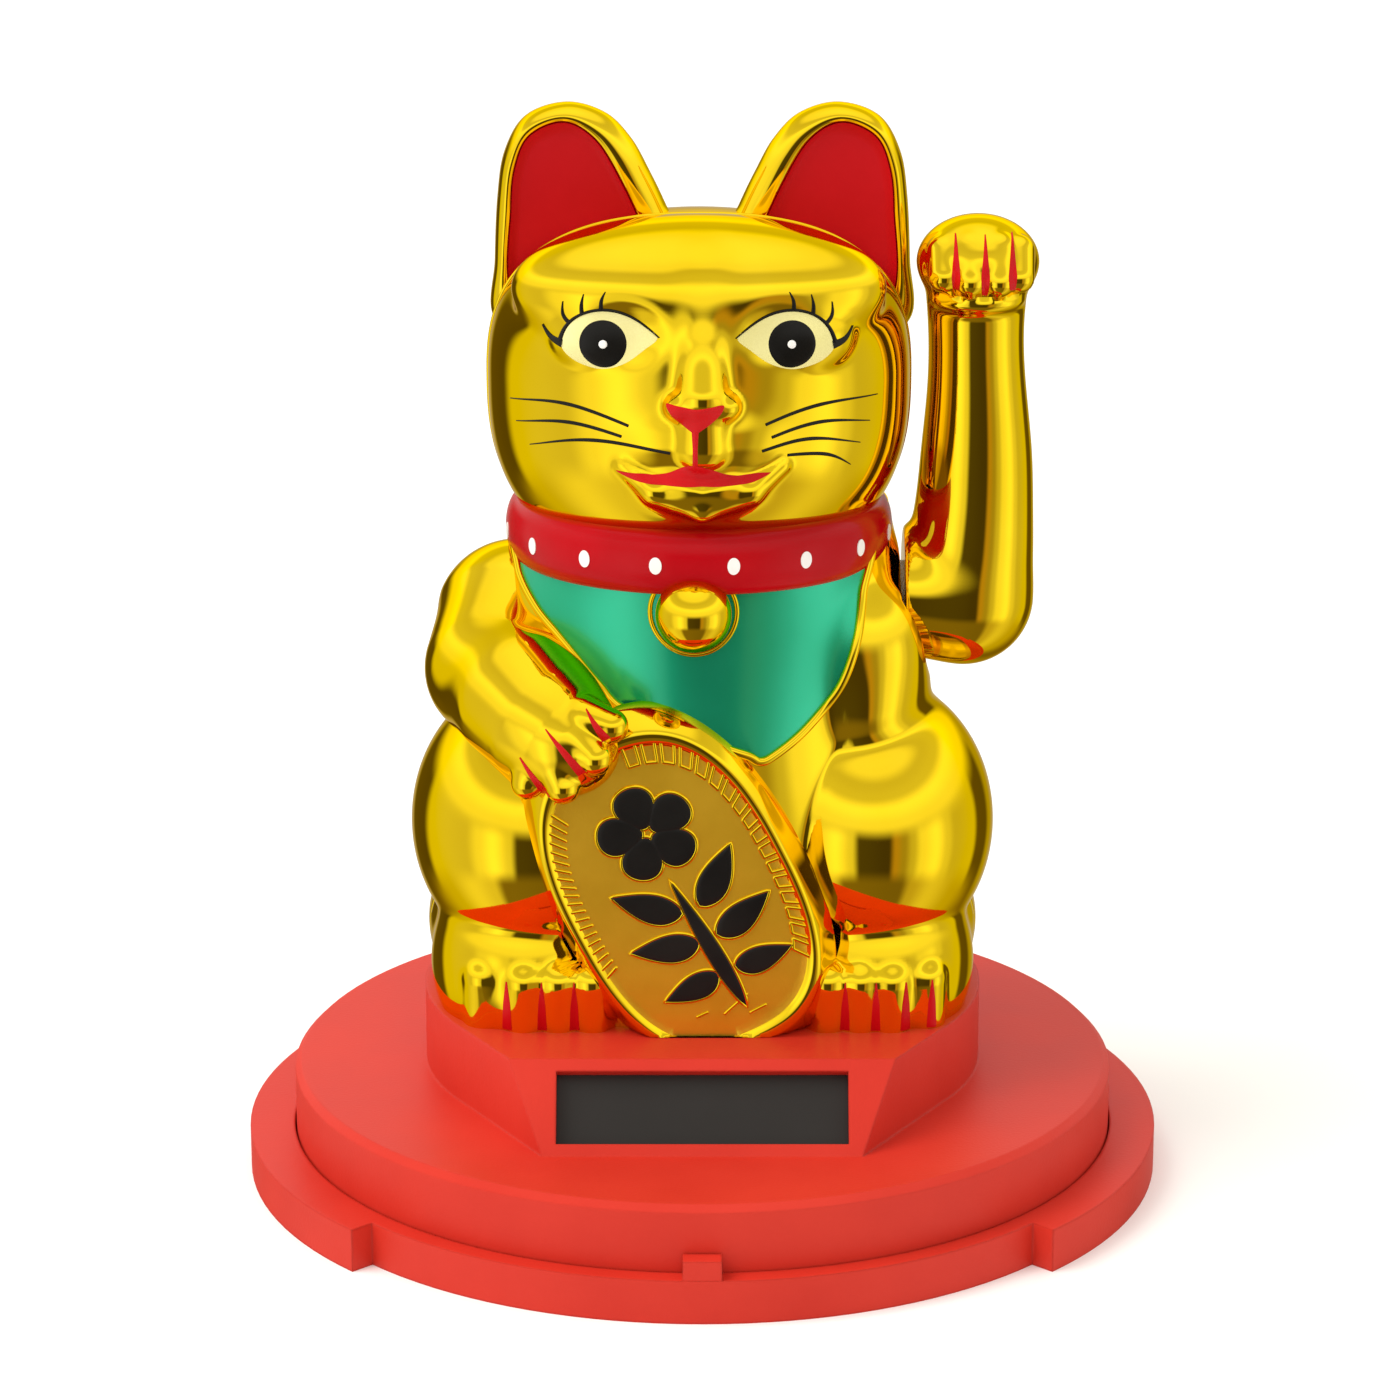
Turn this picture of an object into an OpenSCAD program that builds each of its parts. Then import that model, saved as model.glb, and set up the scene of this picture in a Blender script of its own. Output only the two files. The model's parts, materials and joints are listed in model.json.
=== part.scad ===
// Solar beckoning cat: a gold figure whose right-hand arm rocks on a pivot
// pin, balanced by a pendulum that a coil in the base pushes along.
// Millimetres. +Z up, the figure faces -Y. Origin: centre of the underside.

/* [Base] */
// Diameter of the lower ring
base_d = 110; // [100:1:140]
// Height of the lower ring
ring_h = 5.2; // [4.5:0.1:8]
// How far the front and rear stretches of the ring stand back
ring_setback = 3; // [1:0.5:4]
// Half angle of a set-back stretch, in degrees
setback_half_angle = 47; // [30:1:55]
// Width of the small locating tab on the set-back stretches
tab_w = 4.4; // [3:0.2:8]
// Height of the tab above the ring
tab_rise = 2.3; // [1:0.1:4]
// Width of the ledge round the upper disc
ledge_w = 5.6; // [4:0.1:8]
// Height of the upper disc's top face
disc_top = 13.1; // [12:0.1:18]
// Bevel round the disc's top edge
disc_bevel = 0.8; // [0.3:0.1:1.5]
// Wall of the base mouldings
base_wall = 1.8; // [1.4:0.1:2.4]

/* [Plinth and window] */
// How far the drum stands out round the figure's feet
plinth_margin = 1; // [0.5:0.1:3]
// Height of the drum above the disc
plinth_h = 9.4; // [8:0.1:14]
// How far the panel's foot stands in front of the drum
panel_step = 1.2; // [0.5:0.1:3]
// Width of the frame at each side of the window
frame_w = 1.55; // [1.4:0.05:3]
// How far the panel leans back over its height
panel_lean = 6.7; // [4:0.1:9]
// Width of the window
window_w = 33.7; // [28:0.1:42]
// Height of the window along the slope
window_h = 8.6; // [7:0.1:10.4]
// Thickness of the solar cell
cell_t = 2; // [1.4:0.1:3]

/* [Figure] */
// Height of the figure above the plinth
figure_h = 106; // [100:1:128]
// Wall of the figure's halves
figure_wall = 1.6; // [1.2:0.1:2.2]
// Tilt of the coin the figure holds, in degrees
coin_tilt = 29; // [15:1:35]
// Thickness of the coin's rim in front of the belly
coin_t = 4; // [3:0.5:6]

/* [Arm and pendulum] */
// Diameter of the steel pivot pin
pin_d = 2; // [1.5:0.1:2.5]
// Outer diameter of the bearing bushes
bush_d = 6; // [5:0.2:7.4]
// Length of a bush
bush_l = 4; // [3:0.5:5]
// Outer diameter of the hub that carries the arm
hub_d = 7; // [6:0.2:8]
// Wall of the arm's halves
arm_wall = 1.3; // [1:0.1:1.8]
// Diameter of the pendulum's magnet
magnet_d = 6; // [5:0.1:7.2]
// Thickness of the magnet
magnet_t = 3; // [2:0.5:4]
// Diameter of the counterweight
weight_d = 9; // [7:0.5:10]
// Length of the counterweight
weight_l = 9; // [7:0.5:11]

/* [Electronics] */
// Width of the circuit board
board_w = 34; // [30:1:40]
// Depth of the circuit board
board_l = 26; // [22:1:30]
// Diameter of the coil
coil_d = 15; // [12:0.5:18]
// Diameter of the storage capacitor
capacitor_d = 5; // [4:0.5:6]

/* [Fits] */
// Radial clearance of the pin in its bushes
pin_fit = 0.05; // [0.02:0.01:0.1]
// Gap between mouldings that slide together
slip_gap = 0.2; // [0.1:0.05:0.3]
// Gap between the swinging arm and the shoulder
arm_gap = 0.4; // [0.3:0.05:0.8]
// Radial bite of the screws in their bosses
screw_bite = 0.1; // [0.05:0.01:0.15]

/* [Hidden] */
$fn = 64;
far = 200;
eps = 0.01;

// the figure is laid out at a height of 106 and scaled to figure_h
figure_unit = 106;
k = figure_h / figure_unit;
crown = 93.9;
foot_reach = 32.5;

disc_d = base_d - 2 * ledge_w;
plinth_top = disc_top + plinth_h;
ring_inner = disc_d / 2 + slip_gap;
floor_t = base_wall;
plinth_d = 2 * (foot_reach * k + plinth_margin);
panel_w = window_w + 2 * frame_w;
panel_reach = plinth_d / 2 + panel_step;
panel_angle = atan2(plinth_h, panel_lean);
panel_slope = norm([plinth_h, panel_lean]);
cell_w = window_w + 1.6;
cell_h = window_h + 1;
cell_low = (panel_slope - cell_h) / 2;
screw_d = 2.5;
screw_head_d = 4.8;
screw_head_t = 1;
head_sink = 0.2;
boss_d = 6.4;
base_screw_angles = [90, 210, 330];
base_screw_r = disc_d / 2 - base_wall - boss_d / 2 - 0.6;

figure_screw_x = 25 * k;
figure_screw_y = 8 * k;
axis_z = plinth_top + 48.5 * k;
shoulder_x = 23.3 * k;
arm_x = shoulder_x + arm_gap;
arm_swing_r = 9.8 * k;

// the pendulum
lever_x = 4;
lever_t = 3;
lever_w = 7;
cup_d = magnet_d + 2;
magnet_gap = 2;
bobbin_top = plinth_top + 3;
magnet_low = bobbin_top + magnet_gap;
weight_z = magnet_low + magnet_t + 7;
bush_in_x = -6;
bush_out_x = 16 * k;
pin_start = bush_in_x - 1;
pin_end = arm_x + 8 * k;

// the board and what stands on it
board_t = 1.2;
board_y = 3;
board_z = plinth_top - 9.5;
board_top = board_z + board_t;
board_screw_x = board_w / 2 - 3;
board_screw_d = 2;
lead_d = 1.2;

// Outline of the torso and head from the plinth upwards:
// [height, half width, half depth, how far the middle lies behind the axis]
TORSO = [
    [0, 28.5, 22, 1.5], [6, 28.5, 22.5, 1.5], [14, 29, 23, 1.5],
    [22, 29, 23, 1.5], [30, 28, 22.5, 1.5], [38, 26.5, 21.5, 1.2],
    [46, 25.4, 20.8, 1], [52, 24, 20.2, 0.5], [57, 22.4, 20, 0],
    [61, 21.6, 20, -0.5], [63.5, 22.6, 21, -1], [68, 24, 22.3, -1],
    [73, 24.8, 23, -1], [78, 24.4, 22.8, -0.5], [83, 23.2, 21.8, 0],
    [87, 21, 19.8, 0.5], [90.5, 17, 16, 1], [92.8, 11.5, 10.8, 1],
    [crown, 4, 4, 1]
];

// Name of every sub-part

// ---------------------------------------------------------------- helpers

// Rings of points stacked along Z and closed at both ends.
module ring_loft(rings, sides) {
    points = [
        for (ring = rings, i = [0 : sides - 1])
            let (a = 360 * i / sides)
            [ring[1] * cos(a), ring[3] + ring[2] * sin(a), ring[0]]
    ];
    last = (len(rings) - 1) * sides;
    walls = [
        for (j = [0 : len(rings) - 2], i = [0 : sides - 1])
            let (a = j * sides + i, b = j * sides + (i + 1) % sides)
            [b, a, a + sides, b + sides]
    ];
    polyhedron(
        points,
        concat(walls, [[for (i = [0 : sides - 1]) i]],
               [[for (i = [sides - 1 : -1 : 0]) last + i]]),
        convexity = 6
    );
}

// A ball stretched to three half widths.
module blob(centre, radii, facets = 28) {
    translate(centre) scale(radii) sphere(r = 1, $fn = facets);
}

// A limb between two balls.
module limb(a, ra, b, rb, facets = 24) {
    hull() {
        translate(a) sphere(r = ra, $fn = facets);
        translate(b) sphere(r = rb, $fn = facets);
    }
}

// A rod along X.
module rod(x0, x1, d, facets = 48) {
    translate([x0, 0, axis_z]) rotate([0, 90, 0])
        cylinder(d = d, h = x1 - x0, $fn = facets);
}

// A screw whose head lies below its thread.
module screw(thread_d, head_d, length) {
    cylinder(d = head_d, h = screw_head_t, $fn = 32);
    cylinder(d = thread_d, h = length, $fn = 32);
}

module at_base_screws() {
    for (a = base_screw_angles)
        translate([base_screw_r * cos(a), base_screw_r * sin(a), 0]) children();
}

module at_figure_screws() {
    for (s = [-1, 1]) translate([s * figure_screw_x, figure_screw_y, 0]) children();
}

module at_board_screws() {
    for (s = [-1, 1]) translate([s * board_screw_x, board_y, 0]) children();
}

// ------------------------------------------------------------------- base

// Plan of the ring: a disc whose front and rear stretches stand back.
module ring_plan(r) {
    difference() {
        circle(r = r, $fn = 128);
        for (turn = [0, 180]) rotate(turn - 90) difference() {
            polygon([[0, 0], for (s = [-1, 1])
                far * [cos(s * setback_half_angle), sin(s * setback_half_angle)]]);
            circle(r = r - ring_setback, $fn = 128);
        }
    }
}

// Lower tray: floor, stepped ring, locating tabs and the board's posts.
module base_bottom() color("#E0452F") {
    post_d = 5;
    pilot = board_screw_d - 2 * screw_bite;
    difference() {
        union() {
            difference() {
                linear_extrude(ring_h) ring_plan(base_d / 2);
                translate([0, 0, floor_t]) cylinder(r = ring_inner, h = far, $fn = 128);
            }
            for (turn = [0, 180]) rotate(turn)
                translate([-tab_w / 2, -base_d / 2 + ring_setback + 0.1, ring_h - eps])
                    cube([tab_w, base_d / 2 - ring_setback - ring_inner - 0.1,
                          tab_rise + eps]);
            at_board_screws() translate([0, 0, floor_t - eps])
                cylinder(d = post_d, h = board_z - floor_t + eps, $fn = 48);
        }
        at_base_screws() translate([0, 0, -eps]) {
            cylinder(d = screw_d + 0.4, h = far, $fn = 48);
            cylinder(d = screw_head_d + 0.4, h = screw_head_t + head_sink + eps, $fn = 48);
        }
        at_board_screws() translate([0, 0, floor_t + 1])
            cylinder(d = pilot, h = far, $fn = 48);
    }
}

// Plan of the drum with its straight, panel-wide front. Its sides run into the
// drum just short of the tangent point, which keeps the outline's corners clear.
module plinth_plan(grow = 0) {
    r = plinth_d / 2 + grow;
    corner = [panel_w / 2 + grow, -panel_reach - grow];
    reach = norm(corner);
    turn = atan2(corner[1], corner[0]) + acos(min(1, r / reach));
    touch = (r - 0.05) * [cos(turn), sin(turn)];
    circle(r = r, $fn = 128);
    polygon([[0, 0], touch, corner, [-corner[0], corner[1]], [-touch[0], touch[1]]]);
}

// Frame on the slanted panel: origin at the panel's foot, Z out of the face.
module on_panel() {
    translate([0, -panel_reach, disc_top]) rotate([panel_angle, 0, 0]) children();
}

// The drum, cut back by the slanted panel; inset moves every face inwards.
module plinth_form(inset = 0, low = 0) {
    difference() {
        translate([0, 0, low]) linear_extrude(plinth_top - inset - low)
            plinth_plan(-inset);
        on_panel() translate([-far / 2, -far / 2, -inset]) cube([far, far, far]);
    }
}

// Upper moulding: disc, drum, slanted window frame and screw bosses.
module base_top() color("#E8573A") {
    inner_top = disc_top - base_wall;
    difference() {
        union() {
            translate([0, 0, floor_t]) cylinder(
                d = disc_d, h = disc_top - disc_bevel - floor_t, $fn = 128);
            translate([0, 0, disc_top - disc_bevel]) cylinder(
                d1 = disc_d, d2 = disc_d - 2 * disc_bevel, h = disc_bevel, $fn = 128);
            plinth_form(low = floor_t + 1);
        }
        difference() {
            union() {
                translate([0, 0, floor_t - eps]) cylinder(
                    d = disc_d - 2 * base_wall, h = inner_top - floor_t + eps, $fn = 128);
                plinth_form(inset = base_wall, low = floor_t - 1);
            }
            at_base_screws() translate([0, 0, floor_t])
                cylinder(d = boss_d, h = far, $fn = 48);
        }
        at_base_screws() translate([0, 0, floor_t - eps])
            cylinder(d = screw_d - 2 * screw_bite, h = 7.4, $fn = 48);
        on_panel() translate([-window_w / 2, (panel_slope - window_h) / 2, -far / 2])
            cube([window_w, window_h, far]);
        on_panel() translate([-cell_w / 2 - slip_gap, cell_low - slip_gap,
                              -base_wall - cell_t - 1])
            cube([cell_w + 2 * slip_gap, cell_h + 2 * slip_gap, cell_t + 1]);
        translate([lever_x, 0, disc_top]) cylinder(d = coil_d + 3, h = far);
        at_figure_screws() translate([0, 0, plinth_top - base_wall - 1])
            cylinder(d = screw_d + 0.4, h = far, $fn = 48);
    }
}

module base_screws() color("silver")
    at_base_screws() translate([0, 0, head_sink]) screw(screw_d, screw_head_d, 8.4);

// ------------------------------------------------------------ electronics

module solar_cell() color("#2E2C2B")
    on_panel() translate([-cell_w / 2, cell_low, -base_wall - cell_t])
        cube([cell_w, cell_h, cell_t]);

// Pair of insulated leads from the back of the cell to the board's front edge.
module cell_leads() color("#B3231B") {
    start_y = -panel_reach + base_wall + cell_t + 3;
    for (s = [-1, 1]) {
        route = [
            [s * 9, start_y, board_z + 1], [s * 9, start_y + 3, board_z + 2.6],
            [s * 7, board_y - board_l / 2 - 1, board_top + lead_d + 1],
            [s * 6, board_y - board_l / 2 + 2, board_top + lead_d / 2 - 0.05]
        ];
        for (i = [0 : 2])
            limb(route[i], lead_d / 2, route[i + 1], lead_d / 2, facets = 10);
    }
}

module circuit_board() color("#2F6B3A") difference() {
    translate([-board_w / 2, board_y - board_l / 2, board_z])
        cube([board_w, board_l, board_t]);
    at_board_screws() translate([0, 0, board_z - 1])
        cylinder(d = board_screw_d + 0.4, h = board_t + 2, $fn = 48);
}

module board_screws() color("silver")
    at_board_screws() translate([0, 0, board_top + screw_head_t]) mirror([0, 0, 1])
        screw(board_screw_d, board_screw_d + 2, 7);

module capacitor() color("#22324F")
    translate([-10, board_y + 7, board_top]) cylinder(d = capacitor_d, h = 5.5);

// Small flat-faced transistor that switches the coil.
module driver_transistor() color("#1E1E1E")
    translate([-11, board_y - 8, board_top]) difference() {
        cylinder(d = 4.8, h = 4.6);
        translate([-4, 1.4, -1]) cube([8, 8, 8]);
    }

// Spool of the drive coil: two flanges on a hollow core.
module coil_bobbin() color("#E9E4D6") {
    flange = 1;
    core_r = coil_d / 2 - 4;
    translate([lever_x, 0, board_top]) rotate_extrude()
        difference() {
            translate([core_r - 1.4, 0])
                square([coil_d / 2 - core_r + 1.4, bobbin_top - board_top]);
            translate([core_r, flange])
                square([coil_d, bobbin_top - board_top - 2 * flange]);
        }
}

module drive_coil() color("#B8672B") {
    wound_r = coil_d / 2 - 0.6;
    low = board_top + 1.05;
    translate([lever_x, 0, low]) difference() {
        cylinder(r = wound_r, h = bobbin_top - 1.05 - low);
        translate([0, 0, -1]) cylinder(r = coil_d / 2 - 3.95, h = far);
    }
}

// ----------------------------------------------------------------- figure

// Torso and head, with every ring drawn in by the same amount.
module torso(inset) {
    rings = [for (r = TORSO) [
        r[0] * (crown - inset) / crown, r[1] - inset, r[2] - inset, r[3]
    ]];
    skirt = [[-2, rings[0][1], rings[0][2], rings[0][3]]];
    ring_loft(inset == 0 ? rings : concat(skirt, rings), 48);
}

module thighs(inset) {
    for (s = [-1, 1]) blob([s * 20, -3, 20],
                           [15 - inset, 18 - inset, 18 - inset], 40);
}

module ears() {
    for (s = [-1, 1]) hull() {
        blob([s * 15.4, 0.3, 99], [7, 3.6, 7]);
        blob([s * 19.5, 0.3, 84], [4.2, 5.5, 5]);
        blob([s * 8, 0.3, 88.5], [4, 5.5, 4.5]);
    }
}

// Feet with their toes, flat underneath.
module feet() {
    for (s = [-1, 1]) {
        hull() {
            blob([s * 24.8, -11, 6], [7.6, 8, 7.4]);
            blob([s * 17, -12, 6], [5.5, 7.5, 7]);
            blob([s * 24.8, 7, 6], [7.6, 9, 7.4]);
        }
        for (i = [0 : 3])
            limb([s * (14.2 + 4.2 * i), -17.2 + i * i * 0.25, 3], 2.7,
                 [s * (14.2 + 4.2 * i), -13.5 + i * i * 0.25, 7.5], 3.6, 16);
    }
}

// The bent arm, whose paw rests on the coin's upper rim.
module bent_arm() {
    limb([-21.5, -1.5, 44.5], 10.4, [-25.5, -9, 39], 7.3);
    limb([-25.5, -9, 39], 7.3, [-20, -16.5, 37.5], 5.8);
    limb([-20, -16.5, 37.5], 5.8, [-16, -20.5, 36.5], 6);
    for (i = [0 : 3])
        limb([-16 + i, -22, 35 + i], 3.2,
             [-17.5 + 2.6 * i, -23.5, 31.8 + 2.6 * i], 1.9, 16);
}

// The oval coin, leaning on the belly and standing on the plinth.
module coin() {
    translate([-2.5, -22.8 + coin_t, 19.9]) rotate([90, 0, 0]) rotate(coin_tilt)
        scale([14.7, 21.8, 1]) cylinder(r = 1, h = coin_t, $fn = 64);
}

module collar_and_bell() {
    translate([0, -0.6, 58]) rotate([3, 0, 0]) scale([1, 0.94, 1])
        rotate_extrude($fn = 48) translate([20.9, 0]) scale([1.8, 2.9]) circle(r = 1, $fn = 16);
    blob([0, -22.8, 51.5], [4.3, 4.3, 4.3]);
}

// Muzzle and nose.
module muzzle() {
    blob([0, -18.5, 70], [9.5, 6.5, 6]);
    limb([0, -22, 77.5], 3, [0, -16.8, 87], 3, 16);
}

module tail() {
    limb([-3, 21.5, 5], 4, [6, 23.5, 7], 3.8, 16);
    limb([6, 23.5, 7], 3.8, [12, 20.5, 14], 3.4, 16);
}

// Everything the gold halves are cut from, standing on the plinth.
module figure_form() {
    translate([0, 0, plinth_top]) scale(k) {
        torso(0);
        thighs(0);
        blob([15, 0, 46], [10, 14, 9.5]);
        ears();
        feet();
        bent_arm();
        coin();
        collar_and_bell();
        muzzle();
        tail();
    }
}

// The hollow inside, which leaves a wall behind the shoulder's flat.
module figure_cavity() {
    difference() {
        translate([0, 0, plinth_top]) scale(k) {
            torso(figure_wall / k);
            thighs(figure_wall / k);
        }
        rod(shoulder_x - figure_wall, far, 2 * (arm_swing_r + figure_wall), 96);
    }
}

// One half of the figure; side is -1 for the front and 1 for the back.
module figure_half(side) {
    rib_h = bush_d + 5;
    difference() {
        intersection() {
            figure_form();
            translate([-far / 2, side < 0 ? -far : 0, plinth_top]) cube(far);
        }
        difference() {
            figure_cavity();
            for (x = [bush_in_x, bush_out_x])
                translate([x, -far / 2, axis_z - rib_h / 2]) cube([bush_l, far, rib_h]);
            at_figure_screws() cylinder(d = boss_d, h = plinth_top + 12);
        }
        rod(bush_in_x - 1, shoulder_x + 1, bush_d + 0.1);
        rod(bush_out_x + bush_l + 0.2, far, hub_d + 1.2);
        rod(shoulder_x, far, 2 * arm_swing_r, 96);
        at_figure_screws() translate([0, 0, plinth_top - 1])
            cylinder(d = screw_d + 0.1, h = 9, $fn = 24);
    }
}

module body_front() color("gold") figure_half(-1);

module body_back() color("gold") figure_half(1);

module figure_screws() color("silver")
    at_figure_screws()
        translate([0, 0, plinth_top - base_wall - screw_head_t])
            screw(screw_d, screw_head_d, 9);

// -------------------------------------------------------------------- arm

module bush(x) {
    difference() {
        rod(x, x + bush_l, bush_d);
        rod(x - 1, x + bush_l + 1, pin_d + 2 * pin_fit);
    }
}

module bush_inner() color("ivory") bush(bush_in_x);

module bush_outer() color("ivory") bush(bush_out_x);

module pivot_pin() color("silver") rod(pin_start, pin_end, pin_d);

// Hub that carries the arm on the pin through the shoulder's hole.
module arm_hub() color("ivory") difference() {
    rod(bush_out_x + bush_l + 0.5, pin_end, hub_d);
    rod(0, far, pin_d - 0.04);
}

// The raised arm, with every limb drawn in by the same amount.
module arm_form(inset) {
    translate([0, 0, axis_z]) scale(k) {
        hull() {
            translate([shoulder_x / k - 1, 0, 0]) rotate([0, 90, 0])
                cylinder(r = 7.7 - inset, h = 2, $fn = 48);
            translate([31.4, 0, -1.4]) sphere(r = 7.5 - inset, $fn = 32);
        }
        limb([31.4, 0, -1.4], 7.5 - inset, [32.2, 0, 9], 6.7 - inset, 32);
        limb([32.2, 0, 9], 6.7 - inset, [31.9, 0, 31], 5.7 - inset, 32);
        limb([31.9, 0, 31], 5.7 - inset, [31.8, -0.6, 39.4], 6.9 - inset, 32);
    }
}

module raised_toes() {
    translate([0, 0, axis_z]) scale(k) for (i = [0 : 3])
        limb([27.6 + 2.8 * i, -5.6 - (i == 1 || i == 2 ? 0.8 : 0), 36.5], 1.9,
             [27.9 + 2.6 * i, -3.5, 42], 2.3, 16);
}

module arm_half(side) {
    difference() {
        intersection() {
            union() {
                arm_form(0);
                raised_toes();
            }
            translate([arm_x, side < 0 ? -far : 0, 0]) cube(far);
        }
        difference() {
            arm_form(arm_wall / k);
            translate([-eps, 0, 0]) rod(0, pin_end + 2, hub_d + 3);
            translate([arm_x - 1, -far / 2, 0]) cube([arm_wall + 1, far, far]);
        }
        rod(0, pin_end + 0.1, hub_d + 0.2);
    }
}

module arm_front() color("gold") arm_half(-1);

module arm_back() color("gold") arm_half(1);

// --------------------------------------------------------------- pendulum

// Lever on the pin, with an eye for the weight and a cup for the magnet.
module pendulum_lever() color("ivory") {
    cup_h = magnet_t + 1.4;
    mid = lever_x;
    difference() {
        union() {
            rod(mid - lever_t / 2 - 1, mid + lever_t / 2 + 1, hub_d + 1);
            translate([mid - lever_t / 2, -lever_w / 2, magnet_low + 1])
                cube([lever_t, lever_w, axis_z - magnet_low - 1]);
            translate([mid - lever_t / 2, 0, weight_z]) rotate([0, 90, 0])
                cylinder(d = weight_d + 3, h = lever_t);
            translate([mid, 0, magnet_low]) cylinder(d = cup_d, h = cup_h);
        }
        rod(-far / 2, far / 2, pin_d - 0.04);
        translate([mid - far / 2, 0, weight_z]) rotate([0, 90, 0])
            cylinder(d = weight_d - 0.04, h = far);
        translate([mid, 0, magnet_low - 1]) cylinder(d = magnet_d + 0.1, h = magnet_t + 1);
    }
}

module pendulum_magnet() color("#4A4A4C")
    translate([lever_x, 0, magnet_low]) cylinder(d = magnet_d, h = magnet_t);

module counterweight() color("slategray")
    translate([lever_x - weight_l / 2, 0, weight_z]) rotate([0, 90, 0])
        cylinder(d = weight_d, h = weight_l);

base_bottom();
base_top();
base_screws();
solar_cell();
cell_leads();
circuit_board();
board_screws();
capacitor();
driver_transistor();
coil_bobbin();
drive_coil();
body_front();
body_back();
figure_screws();
bush_inner();
bush_outer();
pivot_pin();
arm_hub();
arm_front();
arm_back();
pendulum_lever();
pendulum_magnet();
counterweight();
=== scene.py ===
"""Solar beckoning cat: its visible surfaces, finishes, lights and camera.

Lengths are in millimetres until a mesh is made. +Z is up and the cat faces -Y.
The gold figure is one smooth-blended form. Every gold shell is that form seen
along a fan of rays, so each shell is a function of two parameters on a grid.
"""
from __future__ import annotations

import json
import logging
import math
from dataclasses import dataclass
from enum import Enum
from typing import Callable, Protocol, Sequence

import bpy
import numpy as np
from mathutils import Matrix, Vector

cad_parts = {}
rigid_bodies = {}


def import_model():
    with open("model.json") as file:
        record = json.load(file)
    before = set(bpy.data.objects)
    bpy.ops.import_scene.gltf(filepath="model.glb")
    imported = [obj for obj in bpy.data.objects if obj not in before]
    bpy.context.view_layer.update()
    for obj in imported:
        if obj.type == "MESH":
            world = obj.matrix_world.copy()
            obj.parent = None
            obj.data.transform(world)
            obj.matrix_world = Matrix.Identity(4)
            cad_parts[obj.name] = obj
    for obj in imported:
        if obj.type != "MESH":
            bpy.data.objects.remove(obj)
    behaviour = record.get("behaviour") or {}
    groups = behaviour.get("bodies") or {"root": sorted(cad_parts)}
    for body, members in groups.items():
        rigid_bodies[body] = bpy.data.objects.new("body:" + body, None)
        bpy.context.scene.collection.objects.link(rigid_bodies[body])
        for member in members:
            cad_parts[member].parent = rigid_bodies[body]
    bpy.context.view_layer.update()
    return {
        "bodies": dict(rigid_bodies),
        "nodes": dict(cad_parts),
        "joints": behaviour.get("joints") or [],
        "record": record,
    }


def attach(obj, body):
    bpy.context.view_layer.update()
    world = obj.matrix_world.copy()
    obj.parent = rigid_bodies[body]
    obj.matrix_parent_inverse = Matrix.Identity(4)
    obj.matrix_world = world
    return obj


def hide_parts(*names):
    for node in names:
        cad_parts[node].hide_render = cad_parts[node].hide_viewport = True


LOG = logging.getLogger("beckoning_cat")
MM = 0.001
TAU = 2.0 * math.pi
FIGURE, ARM = "figure", "waving_arm"
FRONT, BACK = "body_front", "body_back"
SIDES = ((-1.0, "left"), (1.0, "right"))
SEAM = 0.05
WALL = 0.7
Vec = tuple[float, float, float]
Spot = tuple[float, float]
Shape = tuple[np.ndarray, np.ndarray]


# ------------------------------------------------------------ solid forms
def smooth_min(a: np.ndarray, b: np.ndarray, blend: float) -> np.ndarray:
    """Join two distances with a round fillet.

    The smaller distance is lowered by blend / 6 times the cube of how close
    the two are, so slope and curvature run on through the joint.

    Args:
        a: First distance.
        b: Second distance.
        blend: Width of the fillet.

    Returns:
        The joined distance.
    """
    near = np.maximum(blend - np.abs(a - b), 0.0) / blend
    return np.minimum(a, b) - near**3 * blend / 6.0


def natural_spline(knots: Sequence[float], values: Sequence[float]) -> Callable:
    """Make the natural cubic curve through a few points.

    Args:
        knots: Rising positions.
        values: Value at each position.

    Returns:
        A function from positions to values, constant past both ends.
    """
    x, y = np.asarray(knots, float), np.asarray(values, float)
    h = np.diff(x)
    count = len(x)
    system, right = np.eye(count), np.zeros(count)
    inner = np.arange(1, count - 1)
    system[inner, inner - 1] = h[:-1]
    system[inner, inner] = 2.0 * (h[:-1] + h[1:])
    system[inner, inner + 1] = h[1:]
    right[inner] = 6.0 * np.diff(np.diff(y) / h)
    bend = np.linalg.solve(system, right)

    def curve(at: np.ndarray) -> np.ndarray:
        """Evaluate the cubic piece that holds each position."""
        at = np.clip(at, x[0], x[-1])
        i = np.clip(np.searchsorted(x, at) - 1, 0, count - 2)
        left, rest = at - x[i], x[i + 1] - at
        cubic = (bend[i] * rest**3 + bend[i + 1] * left**3) / (6.0 * h[i])
        line = ((y[i] / h[i] - bend[i] * h[i] / 6.0) * rest
                + (y[i + 1] / h[i] - bend[i + 1] * h[i] / 6.0) * left)
        return cubic + line

    return curve


class Solid(Protocol):
    """A simple solid; a hollow one is cut away from what it joins."""

    blend: float
    hollow: bool

    def distance(self, p: np.ndarray) -> np.ndarray:
        """Signed distance of points, negative inside."""


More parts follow.
